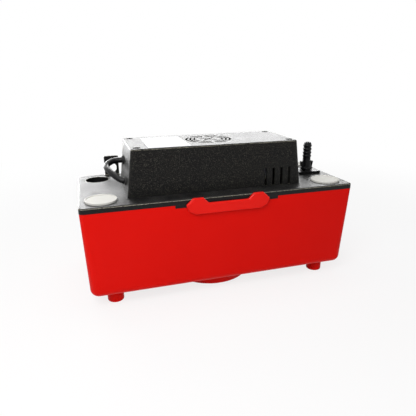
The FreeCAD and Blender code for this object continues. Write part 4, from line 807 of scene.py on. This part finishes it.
def turnedAdapter(adapter, foot):
    # everything but the rings and the bore, about the adapter's own axis
    mesh = bmesh.new()
    spinOutline(mesh, adapter["outline"], Vector((0, 0, 0)), Vector((0, 0, 1)), adapter["segments"])
    bmesh.ops.recalc_face_normals(mesh, faces=mesh.faces)
    ears = adapter["ears"]
    for side in (-1, 1):
        low = sorted(side * reach for reach in ears["foot"])
        high = sorted(side * reach for reach in ears["top"])
        addWedge(mesh, (*low, ears["half"][0], ears["base"]),
                 (*high, ears["half"][1], ears["base"] + ears["height"]), adapter["edge"])
    lugs = adapter["lugs"]
    for side in (-1, 1):
        block = bmesh.new()
        addWedge(block, (lugs["from"], lugs["to"], lugs["half"], lugs["low"]),
                 (lugs["from"], lugs["to"], lugs["half"], lugs["high"]), adapter["edge"] / 2)
        block.transform(Matrix.Rotation(side * math.pi / 2, 4, "Z"))
        carried = bpy.data.meshes.new("lug")
        block.to_mesh(carried)
        block.free()
        mesh.from_mesh(carried)
        bpy.data.meshes.remove(carried)
    # a fixed order, without which the finished mesh lists some faces differently from run to run
    along = Vector(adapter["listAlong"])
    mesh.verts.sort(key=lambda vert: vert.co.dot(along))
    mesh.faces.sort(key=lambda face: face.calc_center_median().dot(along))
    mesh.transform(Matrix.Translation(foot))
    data = bpy.data.meshes.new("barbAdapter")
    mesh.to_mesh(data)
    mesh.free()
    return data


def growAdapter(adapter):
    tree, start, end = newTree("barbAdapter", [
        ("Foot", "NodeSocketVector"), ("Rings", "NodeSocketInt"), ("First Ring", "NodeSocketFloat"),
        ("Pitch", "NodeSocketFloat"), ("Crest", "NodeSocketFloat"), ("Half Height", "NodeSocketFloat"),
        ("Shrink", "NodeSocketFloat"), ("Bore", "NodeSocketFloat")])

    def upwards(height):
        lift = tree.nodes.new("ShaderNodeCombineXYZ")
        wire(tree, height, lift.inputs["Z"])
        return lift.outputs[0]

    line = addNode(tree, "GeometryNodeMeshLine", {"mode": "OFFSET"})
    first = addNode(tree, "ShaderNodeVectorMath", {"operation": "ADD"})
    wire(tree, start.outputs["Foot"], first.inputs[0])
    wire(tree, upwards(start.outputs["First Ring"]), first.inputs[1])
    wire(tree, start.outputs["Rings"], line.inputs["Count"])
    wire(tree, first.outputs[0], line.inputs["Start Location"])
    wire(tree, upwards(start.outputs["Pitch"]), line.inputs["Offset"])

    rings = adapter["ring"]
    ring = addNode(tree, "GeometryNodeMeshUVSphere",
                   values={"Segments": adapter["segments"], "Rings": rings["steps"]})
    flat = tree.nodes.new("GeometryNodeTransform")
    squash = addNode(tree, "ShaderNodeCombineXYZ", values={"X": 1.0, "Y": 1.0})
    wire(tree, start.outputs["Crest"], ring.inputs["Radius"])
    flatness = mathNode(tree, "DIVIDE", start.outputs["Half Height"], start.outputs["Crest"])
    wire(tree, flatness, squash.inputs["Z"])
    wire(tree, ring.outputs["Mesh"], flat.inputs["Geometry"])
    wire(tree, squash.outputs[0], flat.inputs["Scale"])
    place = tree.nodes.new("GeometryNodeInstanceOnPoints")
    rank = tree.nodes.new("GeometryNodeInputIndex").outputs[0]
    smaller = mathNode(tree, "MULTIPLY", rank, start.outputs["Shrink"])
    wire(tree, line.outputs["Mesh"], place.inputs["Points"])
    wire(tree, flat.outputs["Geometry"], place.inputs["Instance"])
    wire(tree, mathNode(tree, "SUBTRACT", 1.0, smaller), place.inputs["Scale"])

    whole = addNode(tree, "GeometryNodeMeshBoolean", {"operation": "UNION", "solver": "EXACT"},
                    {"Self Intersection": True})
    loose = tree.nodes.new("GeometryNodeRealizeInstances")
    wire(tree, place.outputs["Instances"], loose.inputs[0])
    wire(tree, start.outputs["Geometry"], whole.inputs["Mesh 2"])
    wire(tree, loose.outputs[0], whole.inputs["Mesh 2"])
    drill = addNode(tree, "GeometryNodeMeshCylinder",
                    values={"Vertices": adapter["drill"]["sides"], "Depth": adapter["drill"]["length"]})
    aim = tree.nodes.new("GeometryNodeTransform")
    bored = addNode(tree, "GeometryNodeMeshBoolean", {"operation": "DIFFERENCE", "solver": "EXACT"})
    wire(tree, start.outputs["Bore"], drill.inputs["Radius"])
    wire(tree, drill.outputs["Mesh"], aim.inputs["Geometry"])
    wire(tree, start.outputs["Foot"], aim.inputs["Translation"])
    wire(tree, whole.outputs["Mesh"], bored.inputs["Mesh 1"])
    wire(tree, aim.outputs["Geometry"], bored.inputs["Mesh 2"])
    closeTree(tree, bored.outputs["Mesh"], blackFitting, end)

    low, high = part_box("barb_adapter")
    foot = Vector(((low[0] + high[0]) / 2, (low[1] + high[1]) / 2, low[2]))
    growPiece("barbAdapter", turnedAdapter(adapter, foot), tree, {
        "Foot": tuple(foot), "Rings": rings["count"], "First Ring": rings["first"], "Pitch": rings["pitch"],
        "Crest": rings["crest"], "Half Height": rings["half"], "Shrink": rings["shrink"],
        "Bore": adapter["bore"],
    }, "barb_adapter", "barb_adapter", angle=40)


growAdapter(barbAdapter)
print("barb adapter grown")


# floor and light

studio = {
    "floorSize": 6.0,
    "floorColour": (0.82, 0.82, 0.82),
    "floorRough": 0.9,
    "floorSpecular": 0.1,
    "floorWhite": (0.30, 0.75),  # metres from the middle over which the floor turns into the white backdrop
    "floorHaze": 0.80,  # how white the floor near the object already is to the camera
    "ambient": 0.38,
    "lamps": {
        "keyLeft": {"place": (-0.28, -0.38, 0.50), "size": (0.30, 0.30), "watts": 2.4},
        "fillRight": {"place": (1.2, -0.9, 0.8), "size": (0.8, 0.8), "watts": 0.5},
        "topSoft": {"place": (0.0, 0.1, 1.6), "size": (1.2, 1.0), "watts": 5.0},
        "backSoft": {"place": (-0.5, 1.0, 0.7), "size": (0.8, 0.8), "watts": 4.0},
    },
    # seen only as a gleam on what is glossy
    "gleams": {
        "backSheen": {"place": (0.45, 1.5, 0.88), "size": (1.6, 0.70), "watts": 37.0},
        "edgeLeft": {"place": (-0.42, 1.3, 0.17), "size": (0.40, 0.30), "watts": 8.0},
    },
    "aim": (0.0, 0.0, 0.08),
}


def seenDirectly(tree):
    # 1 for what the camera sees, itself or in a gloss or through glass
    path = addNode(tree, "ShaderNodeLightPath")
    seen = mathNode(tree, "MAXIMUM", path.outputs["Is Camera Ray"], path.outputs["Is Glossy Ray"])
    return mathNode(tree, "MAXIMUM", seen, path.outputs["Is Transmission Ray"])


def paintFloor(setup):
    # the floor keeps the shadow near the object and is plain white to the camera further off
    material, tree, shader, spot = newFinish("paleFloor")
    shader.inputs["Base Color"].default_value = (*setup["floorColour"], 1.0)
    shader.inputs["Roughness"].default_value = setup["floorRough"]
    shader.inputs["Specular IOR Level"].default_value = setup["floorSpecular"]
    distance = addNode(tree, "ShaderNodeVectorMath", {"operation": "LENGTH"})
    wire(tree, spot, distance.inputs[0])
    far = addNode(tree, "ShaderNodeMapRange", {"clamp": True, "interpolation_type": "SMOOTHSTEP"},
                  {"From Min": setup["floorWhite"][0], "From Max": setup["floorWhite"][1]})
    wire(tree, distance.outputs["Value"], far.inputs["Value"])
    white = addNode(tree, "ShaderNodeEmission", values={"Strength": 1.0})
    blend = addNode(tree, "ShaderNodeMixShader")
    haze = remap(tree, far.outputs["Result"], (0.0, 1.0), (setup["floorHaze"], 1.0))
    wire(tree, mathNode(tree, "MULTIPLY", haze, seenDirectly(tree)), blend.inputs[0])
    wire(tree, shader.outputs["BSDF"], blend.inputs[1])
    wire(tree, white.outputs["Emission"], blend.inputs[2])
    wire(tree, blend.outputs["Shader"], tree.nodes["Material Output"].inputs["Surface"])
    return material


def lightStudio(setup):
    mesh = bpy.data.meshes.new("floor")
    half = setup["floorSize"] / 2
    corners = [(-half, -half, 0), (half, -half, 0), (half, half, 0), (-half, half, 0)]
    mesh.from_pydata(corners, [], [(0, 1, 2, 3)])
    mesh.materials.append(paintFloor(setup))
    addPiece("floor", mesh)
    for name, lamp in {**setup["lamps"], **setup["gleams"]}.items():
        light = bpy.data.lights.new(name, "AREA")
        light.shape = "RECTANGLE"
        light.size, light.size_y = lamp["size"]
        light.energy = lamp["watts"]
        holder = bpy.data.objects.new(name, light)
        holder.location = lamp["place"]
        aim = Vector(setup["aim"]) - Vector(lamp["place"])
        holder.rotation_euler = aim.to_track_quat("-Z", "Y").to_euler()
        holder.visible_camera = False
        holder.visible_diffuse = name not in setup["gleams"]
        scene.collection.objects.link(holder)


def paintWorld(setup):
    world = bpy.data.worlds.new("whiteSweep")
    world.use_nodes = True
    tree = world.node_tree
    back = tree.nodes["Background"]
    strength = remap(tree, seenDirectly(tree), (0.0, 1.0), (setup["ambient"], 1.0))
    back.inputs["Color"].default_value = (1.0, 1.0, 1.0, 1.0)
    wire(tree, strength, back.inputs["Strength"])
    scene.world = world


lightStudio(studio)
paintWorld(studio)
print("studio lit")
